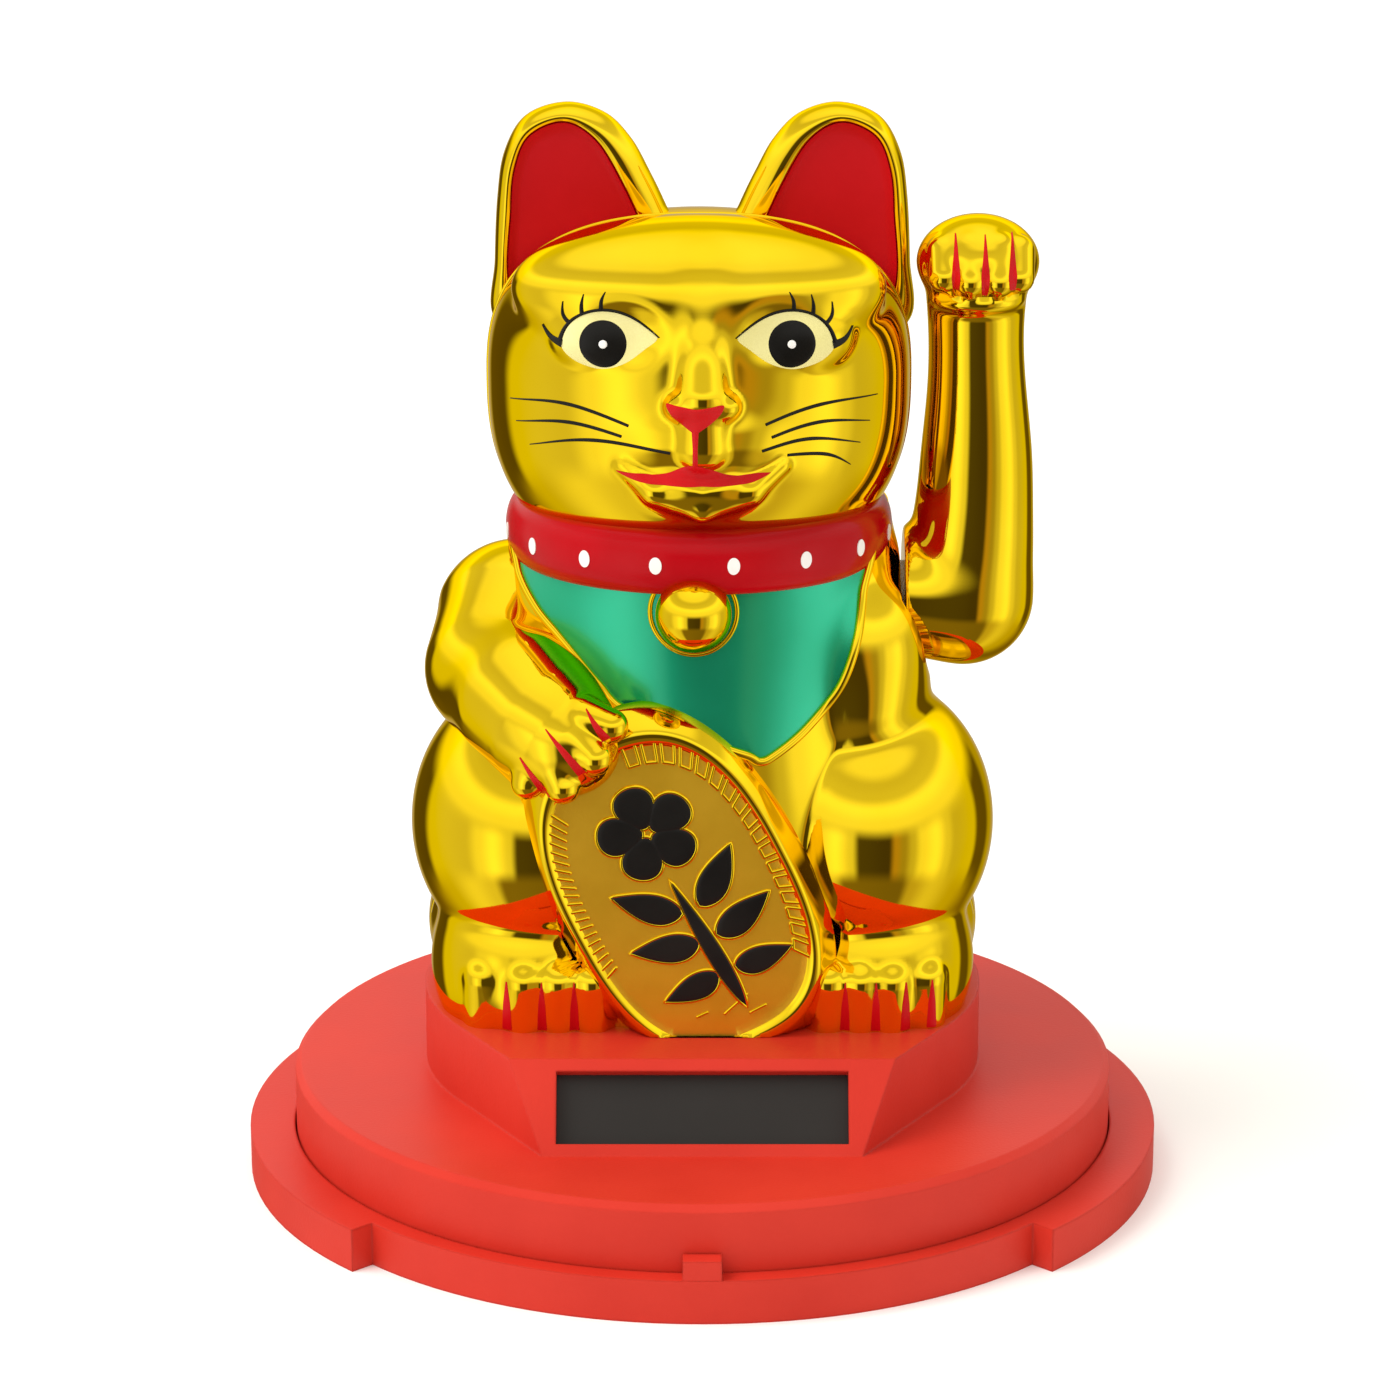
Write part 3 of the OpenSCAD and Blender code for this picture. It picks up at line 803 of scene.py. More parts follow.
# ------------------------------------------------------------- gold shells
@dataclass(frozen=True)
class ShellMaker:
    """Turns fans of rays into closed gold shells, parted at the plane y = 0."""

    shop: Workshop
    wall: float = WALL
    groove: float = 0.22
    least: float = 0.3
    lip_degrees: float = 0.45

    def half_turn(self, front: bool, columns: int) -> np.ndarray:
        """Plan angles over one half, with a close pair at each end for the groove."""
        start = 180.0 if front else 0.0
        even = np.linspace(self.lip_degrees, 180.0 - self.lip_degrees, columns - 2)
        return start + np.concatenate([[0.0], even, [180.0]])

    def close(self, name: str, outer: np.ndarray, origin: np.ndarray, front: bool,
              node: str, body: str = FIGURE) -> None:
        """Thicken a grid of contact points into a shell and finish it in gold.

        Args:
            name: Name of the piece.
            outer: Contact points, rows by columns.
            origin: Inner end of the ray of each point.
            front: Whether this is the half on the viewer's side.
            node: CAD node it stands for.
            body: Body the shell rides on.
        """
        out = outer - origin
        length = np.linalg.norm(out, axis=-1, keepdims=True)
        unit = out / length
        grooved = outer.copy()
        grooved[:, [0, -1]] -= self.groove * unit[:, [0, -1]]
        inner = origin + unit * np.maximum(length - self.wall, self.least)
        side = -1.0 if front else 1.0
        for grid in (grooved, inner):
            grid[..., 1] = side * np.maximum(side * grid[..., 1], SEAM)
        self.shop.add(name, slab(grooved, inner), Slot.GOLD, node, body=body, sharp=50.0)


@dataclass(frozen=True)
class GoldFigure:
    """Head and body shells of the seated cat."""

    shop: Workshop
    maker: ShellMaker
    cat: CatShape
    head_grid: tuple[int, int] = (176, 262)
    torso_grid: tuple[int, int] = (186, 250)
    head_low: float = -52.0
    head_reach: float = 40.0
    torso_reach: float = 48.0
    seam_radius: float = 0.24
    seam_span: tuple[float, float] = (-45.0, 225.0)

    def build(self) -> None:
        """Make the front and back of the head and of the body."""
        head, torso = self.cat.head(), self.cat.chest()
        for front, half in ((True, "front"), (False, "back")):
            rows, cols = self.head_grid
            turn, rise = np.meshgrid(self.maker.half_turn(front, cols),
                                     np.linspace(self.head_low, 90.0, rows))
            rays = plan_ray(turn, rise)
            origin = np.broadcast_to((0.0, 0.0, self.cat.head_middle), rays.shape)
            hit = head.cast(origin, rays, self.head_reach)
            self.maker.close(f"head_{half}", hit, origin, front, f"body_{half}")
            rows, cols = self.torso_grid
            turn, tall = np.meshgrid(self.maker.half_turn(front, cols),
                                     np.linspace(self.cat.floor, self.cat.neck + 2.0, rows))
            rays = plan_ray(turn, 0.0)
            origin = np.stack([0.0 * tall, 0.0 * tall, tall], -1)
            hit = torso.cast(origin, rays, self.torso_reach)
            self.maker.close(f"torso_{half}", hit, origin, front, f"body_{half}")
        self.seam(head)

    def seam(self, head: Form) -> None:
        """Fine raised moulding line where the two halves of the head meet."""
        rise = np.linspace(*self.seam_span, 320)
        rays = plan_ray(0.0 * rise, rise)
        path = head.cast(np.array([0.0, 0.0, self.cat.head_middle]), rays, self.head_reach)
        self.shop.add("head_seam", tube(path, self.seam_radius), Slot.GOLD, FRONT, BACK)


@dataclass(frozen=True)
class BentArm:
    """The lowered arm and its paw, cast from a curve along its middle."""

    shop: Workshop
    cat: CatShape
    spine: tuple[Vec, ...] = ((-19.0, 1.0, 67.5), (-23.6, -4.0, 65.0), (-23.4, -10.0, 63.0),
                              (-20.0, -15.5, 61.4), (-17.0, -19.0, 59.6))
    grid: tuple[int, int] = (190, 160)
    reach: float = 15.0
    step: float = 1e-3

    def build(self) -> None:
        """Make the arm as one closed surface; its root lies inside the body."""
        rows, cols = self.grid
        points = np.asarray(self.spine)
        knots = np.linspace(0.0, 1.0, len(points))
        curves = [natural_spline(knots, points[:, i]) for i in range(3)]
        at, lean = capsule_rows(rows, rows // 3)
        middle = np.stack([curve(at) for curve in curves], -1)
        low, high = np.clip(at - self.step, 0.0, 1.0), np.clip(at + self.step, 0.0, 1.0)
        run = np.stack([curve(high) - curve(low) for curve in curves], -1)
        run /= np.linalg.norm(run, axis=1, keepdims=True)
        side = np.cross(run, np.array([0.0, 0.0, 1.0]))
        side /= np.linalg.norm(side, axis=1, keepdims=True)
        up = np.cross(side, run)
        lean = np.radians(lean)[:, None, None]
        out, tall = circle(cols).T[:, None, :, None]
        rays = (np.cos(lean) * (out * side[:, None] + tall * up[:, None])
                + np.sin(lean) * run[:, None])
        hit = self.cat.bent_arm().cast(middle[:, None], rays, self.reach)
        self.shop.add("bent_arm", (hit, grid_faces(rows, cols, 0, True)), Slot.GOLD, FRONT, BACK,
                      sharp=50.0)


@dataclass(frozen=True)
class GoldArm:
    """The waving arm, cast from an upright line inside it."""

    shop: Workshop
    maker: ShellMaker
    cat: CatShape
    core_x: float = 31.4
    core: tuple[float, float] = (68.5, 110.5)
    flat_x: float = 23.7
    reach: float = 26.0
    grid: tuple[int, int] = (170, 150)

    def form(self) -> Form:
        """The arm with the flat that faces the shoulder."""
        return Form(self.cat.raised_arm().parts + [Cut((1.0, 0.0, 0.0), self.flat_x, 0.8)])

    def build(self) -> None:
        """Make both halves of the arm."""
        form = self.form()
        low, high = self.core
        rows, cols = self.grid
        along, rise = capsule_rows(rows, rows // 4)
        for front, half in ((True, "front"), (False, "back")):
            turn = self.maker.half_turn(front, cols)
            rays = plan_ray(turn[None, :] + 0.0 * rise[:, None], rise[:, None])
            origin = np.zeros_like(rays)
            origin[..., 0], origin[..., 2] = self.core_x, (low + (high - low) * along)[:, None]
            hit = form.cast(origin, rays, self.reach)
            self.maker.close(f"waving_{half}", hit, origin, front, f"arm_{half}", ARM)


# ------------------------------------------------------- painted surfaces
@dataclass(frozen=True)
class Brush:
    """Lays thin films and strokes on a form, seen square on from the front."""

    shop: Workshop
    depth: float = 0.25
    reach: float = 40.0
    edge_share: float = 0.34
    narrowest: float = 0.04

    def onto(self, form: Form, x: np.ndarray, z: np.ndarray) -> np.ndarray:
        """Points of a form straight behind each place (x, z)."""
        origin = np.stack([x, 0.0 * x, z], -1)
        ray = np.zeros_like(origin)
        ray[..., 1] = -1.0
        return form.cast(origin, ray, self.reach)

    def film(self, name: str, form: Form, outline: np.ndarray, slot: Slot, lift: float,
             rings: int = 14, middle: Spot | None = None) -> None:
        """Lay a film inside a closed outline.

        Args:
            name: Name of the piece.
            form: What it lies on.
            outline: Points (x, z) around the edge.
            slot: Its finish.
            lift: Height above the form; the edge tapers to a third of it.
            rings: Rings between middle and edge.
            middle: Where the rings shrink to.
        """
        centre = np.asarray(middle) if middle else outline.mean(0)
        share = np.linspace(0.0, 1.0, rings)[:, None, None]
        flat = centre + share * (outline - centre)
        hit = self.onto(form, flat[..., 0], flat[..., 1])
        normal = form.normal(hit)
        dome = lift * (1.0 - (1.0 - self.edge_share) * share**10)
        self.shop.add(name, slab(hit + dome * normal, hit - self.depth * normal, True), slot)

    def stroke(self, name: str, form: Form, route: Sequence[Spot], widths: Sequence[float],
               slot: Slot, lift: float = 0.12, steps: int = 40,
               nodes: Sequence[str] = (FRONT,), body: str = FIGURE) -> None:
        """Lay a tapering brush stroke along a smooth route.

        Args:
            name: Name of the piece.
            form: What it lies on.
            route: Points (x, z) along the middle.
            widths: Full width at each point of the route.
            slot: Its finish.
            lift: Height of the middle above the form.
            steps: Points along the stroke.
            nodes: CAD nodes it stands for.
            body: Body it rides on.
        """
        points = np.asarray(route, float)
        knots = np.linspace(0.0, 1.0, len(points))
        at = np.linspace(0.0, 1.0, steps)
        x, z = (natural_spline(knots, points[:, i])(at) for i in (0, 1))
        wide = np.maximum(np.interp(at, knots, widths), self.narrowest)
        run = np.stack([np.gradient(x), np.gradient(z)], -1)
        run /= np.linalg.norm(run, axis=-1, keepdims=True)
        across = np.linspace(-0.5, 0.5, 7)
        gx = x[:, None] - run[:, 1:] * across * wide[:, None]
        gz = z[:, None] + run[:, :1] * across * wide[:, None]
        hit = self.onto(form, gx, gz)
        normal = form.normal(hit)
        dome = (1.0 - 0.65 * (2.0 * across) ** 2)[None, :, None] * lift
        self.shop.add(name, slab(hit + dome * normal, hit - self.depth * normal), slot, *nodes,
                      body=body)


def closed_curve(points: Sequence[Spot], count: int) -> np.ndarray:
    """A smooth closed curve through a few points (Catmull-Rom pieces)."""
    p = np.asarray(points, float)
    at = np.linspace(0.0, len(p), count, endpoint=False)
    i, t = np.floor(at).astype(int), (at % 1.0)[:, None]
    a, b, c, d = (p[(i + k) % len(p)] for k in (-1, 0, 1, 2))
    return 0.5 * (2.0 * b + (c - a) * t + (2.0 * a - 5.0 * b + 4.0 * c - d) * t**2
                  + (3.0 * b - a - 3.0 * c + d) * t**3)


def tube(path: np.ndarray, radius: np.ndarray | float, sides: int = 12,
         closed: bool = False) -> Shape:
    """Sweep a circle along a path; open ends are rounded off to a point.

    Args:
        path: Points of the path.
        radius: One radius, or one for each point.
        sides: Points round the circle.
        closed: Whether the path returns to its start.

    Returns:
        The points and quads.
    """
    size = np.broadcast_to(np.asarray(radius, float), (len(path),)).copy()
    if closed:
        run = np.roll(path, -1, 0) - np.roll(path, 1, 0)
    else:
        run = np.gradient(path, axis=0)
    run /= np.linalg.norm(run, axis=1, keepdims=True)
    guide = np.where(np.abs(run[:, 1:2]) < 0.9, [[0.0, 1.0, 0.0]], [[0.0, 0.0, 1.0]])
    side = np.cross(run, guide)
    side /= np.linalg.norm(side, axis=1, keepdims=True)
    up = np.cross(side, run)
    if not closed:
        tip = 0.7
        first, last = run[:1] * size[0], run[-1:] * size[-1]
        path = np.concatenate([path[:1] - first, path[:1] - tip * first, path,
                               path[-1:] + tip * last, path[-1:] + last])
        side, up = (np.concatenate([v[:1], v[:1], v, v[-1:], v[-1:]]) for v in (side, up))
        size = np.concatenate([[0.0, tip * size[0]], size, [tip * size[-1], 0.0]])
    out, tall = circle(sides).T[:, None, :, None]
    points = path[:, None] + size[:, None, None] * (out * side[:, None] + tall * up[:, None])
    if closed:
        points = np.concatenate([points, points[:1]])
    return points.reshape(-1, 3), grid_faces(len(points), sides, 0, True)


# -------------------------------------------------------------------- ears
@dataclass(frozen=True)
class Ears:
    """Two cushion-shaped ears, each with a sunk red front."""

    shop: Workshop
    outline: tuple[Spot, ...] = (
        (24.3, 103.0), (24.2, 110.0), (23.8, 117.5), (22.9, 122.8), (20.4, 126.9),
        (15.7, 128.45), (11.2, 127.2), (8.2, 124.2), (6.1, 120.4), (4.2, 116.4),
        (1.5, 110.0), (8.0, 102.0), (18.0, 99.0))
    recess: tuple[Spot, ...] = (
        (21.9, 106.0), (22.1, 116.5), (21.5, 121.6), (19.8, 125.0), (15.9, 126.5),
        (12.3, 124.4), (9.4, 119.6), (7.0, 114.2), (5.6, 109.5), (8.0, 104.0), (14.0, 102.5))
    front_y: float = 0.4
    middle_y: float = 3.4
    back_y: float = 6.6
    sink: float = 0.9
    back_power: float = 0.45
    rim_share: float = 0.72
    count: int = 180

    def build(self) -> None:
        """Make the gold ear and its red inside on both sides."""
        back, front = self.back_y - self.middle_y, self.middle_y - self.front_y
        for side, tag in SIDES:
            mirror = np.array([side, 1.0])
            edge = closed_curve(self.outline, self.count) * mirror
            hole = self.match(edge, closed_curve(self.recess, self.count) * mirror)
            centre = hole.mean(0)
            rings = [(centre, self.back_y)]
            for angle in np.radians(np.linspace(84.0, 0.0, 12)):
                rings.append((centre + (edge - centre) * math.cos(angle) ** self.back_power,
                              self.middle_y + back * math.sin(angle)))
            for angle in np.radians(np.linspace(8.0, 90.0, 9)):
                rings.append((edge + (hole - edge) * (1.0 - math.cos(angle)) * self.rim_share,
                              self.middle_y - front * math.sin(angle)))
            rings += [(edge + (hole - edge) * 0.9, self.front_y + 0.12),
                      (hole, self.front_y + 0.5 * self.sink),
                      (hole + (centre - hole) * 0.03, self.front_y + self.sink),
                      (centre, self.front_y + self.sink + 0.7)]
            grid = np.stack([np.stack([np.broadcast_to(flat[..., 0], self.count),
                                       np.full(self.count, y),
                                       np.broadcast_to(flat[..., 1], self.count)], -1)
                             for flat, y in rings])
            self.shop.add(f"ear_{tag}", (grid, grid_faces(len(rings), self.count, 0, True)),
                          Slot.GOLD, FRONT, BACK)
            self.inside(tag, hole, centre)

    def match(self, edge: np.ndarray, hole: np.ndarray) -> np.ndarray:
        """Reorder the recess so that each point faces the nearest edge direction."""
        centre = hole.mean(0)
        want = np.unwrap(np.arctan2(*(edge - centre).T[::-1]))
        have = np.arctan2(*(hole - centre).T[::-1])
        order = np.argsort(have)
        angle = np.concatenate([have[order] - TAU, have[order], have[order] + TAU])
        around = np.tile(hole[order], (3, 1))
        turn = (want + math.pi) % TAU - math.pi
        return np.stack([np.interp(turn, angle, around[:, i]) for i in (0, 1)], -1)

    def inside(self, tag: str, hole: np.ndarray, centre: np.ndarray) -> None:
        """Make the concave red film on the floor of the recess."""
        share = np.linspace(0.0, 1.0, 14)[:, None, None]
        flat = centre + share * (hole - centre) * 0.995
        deep = self.front_y + self.sink + 0.6 * (1.0 - share[..., 0] ** 2)
        deep = np.where(share[..., 0] > 0.97, self.front_y + 0.35 * self.sink, deep)
        top = np.stack([flat[..., 0], np.broadcast_to(deep, flat.shape[:2]) - 0.12,
                        flat[..., 1]], -1)
        self.shop.add(f"ear_inside_{tag}", slab(top, top + np.array([0.0, 0.5, 0.0]), True),
                      Slot.EAR)


# -------------------------------------------------------------------- face
@dataclass(frozen=True)
class Face:
    """Painted eyes, nose, mouth and whiskers."""

    shop: Workshop
    brush: Brush
    pupil_x: tuple[float, float] = (-11.1, 10.0)
    pupil_z: float = 105.4
    pupil_r: float = 2.75
    glint_r: float = 0.55
    middle_x: float = -0.8

    def build(self, head: Form) -> None:
        """Paint the whole face."""
        for side, tag in SIDES:
            self.eye(head, side, tag)
        self.nose(head)
        self.whiskers(head)

    def eye(self, head: Form, side: float, tag: str) -> None:
        """Cream eye, black pupil with a glint, upper lid line and lashes.

        Places are given from the pupil's middle, outwards and upwards.
        """
        x, z = self.pupil_x[0 if side < 0 else 1], self.pupil_z

        def spot(points: Sequence[Spot]) -> list[Spot]:
            return [(x + side * out, z + up) for out, up in points]

        almond = [(4.75, -0.2), (4.2, 1.6), (2.6, 3.1), (0.2, 3.8), (-2.4, 3.4), (-4.6, 2.2),
                  (-6.1, 0.9), (-4.6, -0.6), (-2.4, -2.2), (0.2, -2.95), (2.6, -2.45), (4.2, -1.4)]
        self.brush.film(f"eye_{tag}", head, closed_curve(spot(almond), 120), Slot.EYE, 0.1)
        ring, middle = circle(72), np.array([x, z])
        self.brush.film(f"pupil_{tag}", head, middle + self.pupil_r * ring, Slot.BLACK_LINE, 0.19)
        self.brush.film(f"glint_{tag}", head, middle + self.glint_r * ring[::3], Slot.DOT, 0.27, 5)
        lid = spot([(-6.3, 0.9), *almond[5:0:-1], (4.9, -0.1)])
        self.brush.stroke(f"lid_{tag}", head, lid, (0.1, 0.22, 0.3, 0.32, 0.34, 0.4, 0.5),
                          Slot.BLACK_LINE, 0.2, 60)
        lashes = (((0.2, 3.8), (0.15, 4.9), (-0.3, 5.9)), ((2.35, 3.2), (2.4, 4.3), (2.15, 5.5)),
                  ((3.8, 2.1), (4.5, 3.0), (4.5, 4.5)), ((4.6, -0.3), (6.0, 0.2), (6.85, 1.4)))
        for i, lash in enumerate(lashes):
            widths = (1.0, 0.6, 0.1) if i == 3 else (0.5, 0.38, 0.1)
            self.brush.stroke(f"lash_{tag}_{i + 1}", head, spot(lash), widths,
                              Slot.BLACK_LINE, 0.18, 16)

    def nose(self, head: Form) -> None:
        """Red nose, the line under it and the open mouth."""
        x = self.middle_x
        triangle = [(x - 3.2, 99.3), (x - 1.6, 99.2), (x, 99.0), (x + 1.6, 99.2), (x + 3.2, 99.3),
                    (x + 2.5, 97.9), (x + 0.8, 96.5), (x, 96.1), (x - 0.8, 96.5), (x - 2.5, 97.9)]
        self.brush.film("nose", head, closed_curve(triangle, 100), Slot.RED_LINE, 0.14)
        self.brush.stroke("philtrum", head, [(x, 96.4), (x, 94.2), (x, 92.0)],
                          (0.8, 0.55, 0.6), Slot.RED_LINE)
        top = [(x - 8.9, 90.9), (x - 6.4, 90.65), (x - 3.3, 91.0), (x, 92.2),
               (x + 3.3, 91.0), (x + 6.4, 90.65), (x + 8.5, 90.9)]
        low = [(x + 6.3, 89.95), (x + 3.2, 89.7), (x, 89.65), (x - 3.2, 89.7), (x - 6.3, 89.95)]
        self.brush.film("mouth", head, closed_curve(top + low, 150), Slot.RED_LINE, 0.12,
                        middle=(x, 90.5))

    def whiskers(self, head: Form) -> None:
        """Tapering black whiskers, four on the viewer's right and three on the left."""
        rows = {"left": (((-21.9, 96.9), (-15.4, 97.9), (-8.3, 96.2)),
                         ((-21.2, 94.5), (-15.2, 95.8), (-9.1, 94.9)),
                         ((-19.6, 92.2), (-12.5, 94.1), (-3.6, 93.4))),
                "right": (((19.9, 97.8), (13.2, 98.0), (7.1, 96.4)),
                          ((19.0, 95.0), (13.4, 96.0), (7.8, 94.9)),
                          ((17.9, 92.7), (12.3, 94.2), (6.7, 93.4)),
                          ((16.8, 90.3), (14.0, 92.1), (9.6, 92.6)))}
        for tag, strokes in rows.items():
            for i, route in enumerate(strokes):
                self.brush.stroke(f"whisker_{tag}_{i + 1}", head, route, (0.12, 0.42, 0.34),
                                  Slot.BLACK_LINE, 0.14)


# ------------------------------------------------------ collar, bell and bib
@dataclass(frozen=True)
class Collar:
    """Glossy collar with white dots and a bell."""

    shop: Workshop
    middle_x: float = -0.4
    half_width: float = 20.6
    half_depth: float = 20.4
    middle_y: float = -0.6
    front_z: float = 80.0
    back_z: float = 78.6
    half_height: float = 3.8
    bulge: float = 2.1
    dot_step: float = 22.5
    dot_first: float = 10.0
    dot_radii: tuple[float, float] = (0.72, 0.98)

    def surface(self, turn: np.ndarray, across: np.ndarray, lift: float = 0.0) -> np.ndarray:
        """Points on the band.

        Args:
            turn: Angle from the front, in radians.
            across: Angle round the section, 0 outwards and pi / 2 upwards.
            lift: Height above the band.

        Returns:
            The points.
        """
        out = (self.bulge + lift) * np.sign(np.cos(across)) * np.abs(np.cos(across)) ** 0.8
        up = (self.half_height + lift) * np.sin(across)
        level = self.front_z + (self.back_z - self.front_z) * (1.0 - np.cos(turn)) / 2.0
        return np.stack([self.middle_x + (self.half_width + out) * np.sin(turn),
                         self.middle_y - (self.half_depth + out) * np.cos(turn),
                         level + up], -1)

    def build(self) -> None:
        """Make the band and its dots."""
        turn, across = np.meshgrid(np.linspace(0.0, TAU, 241), TAU * np.arange(36) / 36,
                                   indexing="ij")
        ring = self.surface(turn, across)
        ring[-1] = ring[0]
        self.shop.add("collar_band", (ring, grid_faces(*turn.shape, 0, True)), Slot.COLLAR,
                      FRONT, BACK)
        for i in range(round(360.0 / self.dot_step)):
            self.dot(i + 1, math.radians(self.dot_first + i * self.dot_step))

    def dot(self, number: int, turn: float) -> None:
        """One round white dot lying on the band."""
        out, up = circle(40).T
        share = np.linspace(0.0, 1.0, 7)[:, None]
        wide, tall = self.dot_radii
        a = turn + share * out * wide / (self.half_depth + self.bulge)
        b = share * up * tall / self.half_height
        self.shop.add(f"collar_dot_{number:02d}",
                      slab(self.surface(a, b, 0.1), self.surface(a, b, -0.3), True), Slot.DOT,
                      FRONT if math.cos(turn) > 0.0 else BACK)


@dataclass(frozen=True)
class Bell:
    """Round bell in a thin raised surround on the bib."""

    shop: Workshop
    brush: Brush
    centre: Vec = (-1.0, -21.9, 74.1)
    radius: float = 4.35
    seat_radius: float = 4.9
    seat_wire: float = 0.3
    seat_drop: float = 0.3
    count: int = 96

    def build(self, chest: Form) -> None:
        """Make the bell and its surround."""
        rise = np.linspace(-90.0, 90.0, 61)[:, None]
        turn = 360.0 * np.arange(self.count) / self.count
        ball = np.asarray(self.centre) + self.radius * plan_ray(turn + 0.0 * rise, rise)
        self.shop.add("bell", (ball, grid_faces(len(rise), self.count, 0, True)), Slot.GOLD)
        seat = (self.centre[0], self.centre[2] - self.seat_drop)
        ring = self.brush.onto(chest, *(seat + self.seat_radius * circle(self.count)).T)
        ring += self.seat_wire * chest.normal(ring)
        self.shop.add("bell_surround", tube(ring, self.seat_wire, closed=True), Slot.GOLD)


@dataclass(frozen=True)
class Bib:
    """Green bib between collar, arm and coin, with a raised gold edge."""

    shop: Workshop
    brush: Brush
    outline: tuple[Spot, ...] = (
        (-20.4, 79.6), (-21.3, 76.0), (-19.3, 72.4), (-16.7, 69.7), (-14.2, 67.0),
        (-11.8, 64.4), (-9.2, 62.0), (-3.0, 60.4), (2.4, 57.8), (5.2, 56.7), (6.6, 55.9),
        (8.3, 56.5), (12.0, 59.2), (15.7, 63.4), (17.7, 68.8), (18.4, 74.0), (18.6, 80.5),
        (6.0, 81.5), (-8.0, 81.5))
    middle: Spot = (-0.5, 71.0)
    edge_radius: float = 0.55
    edge_lift: float = 0.15

    def build(self, torso: Form) -> None:
        """Lay the film and its edge on the chest."""
        edge = closed_curve(self.outline, 220)
        self.brush.film("bib", torso, edge, Slot.BIB, 0.3, 40, self.middle)
        path = self.brush.onto(torso, *edge.T)
        path += self.edge_lift * torso.normal(path)
        self.shop.add("bib_edge", tube(path, self.edge_radius, closed=True), Slot.GOLD)


@dataclass(frozen=True)
class Claws:
    """Red lines between the toes of every paw."""

    shop: Workshop
    brush: Brush

    def build(self, torso: Form, bent: Form, arm: Form) -> None:
        """Paint the lines of the lowered paw, both feet and the raised paw."""
        paw = (((-20.8, 58.0), (-19.3, 55.6), (-17.8, 53.4)),
               ((-17.8, 61.7), (-15.7, 59.2), (-13.7, 56.6)),
               ((-13.2, 63.9), (-12.0, 62.0), (-10.9, 60.5)))
        for i, route in enumerate(paw):
            self.brush.stroke(f"paw_line_{i + 1}", bent, route, (0.15, 0.75, 1.15), Slot.RED_LINE)
        for i, x in enumerate((-22.9, -18.8, -15.0, 16.7, 20.3, 23.8, 26.9)):
            self.brush.stroke(f"foot_line_{i + 1}", torso, ((x, 28.9), (x, 26.0), (x, 22.7)),
                              (0.15, 0.85, 1.15), Slot.RED_LINE)
        for i, (x, low) in enumerate(((29.0, 108.6), (32.35, 107.9), (35.5, 108.6))):
            self.brush.stroke(f"raised_line_{i + 1}", arm,
                              ((x, 114.6), (x, 112.4), (x, 110.2), (x, low)),
                              (0.15, 0.55, 1.0, 0.7), Slot.RED_LINE,
                              nodes=(FRONT, "arm_front"), body=ARM)


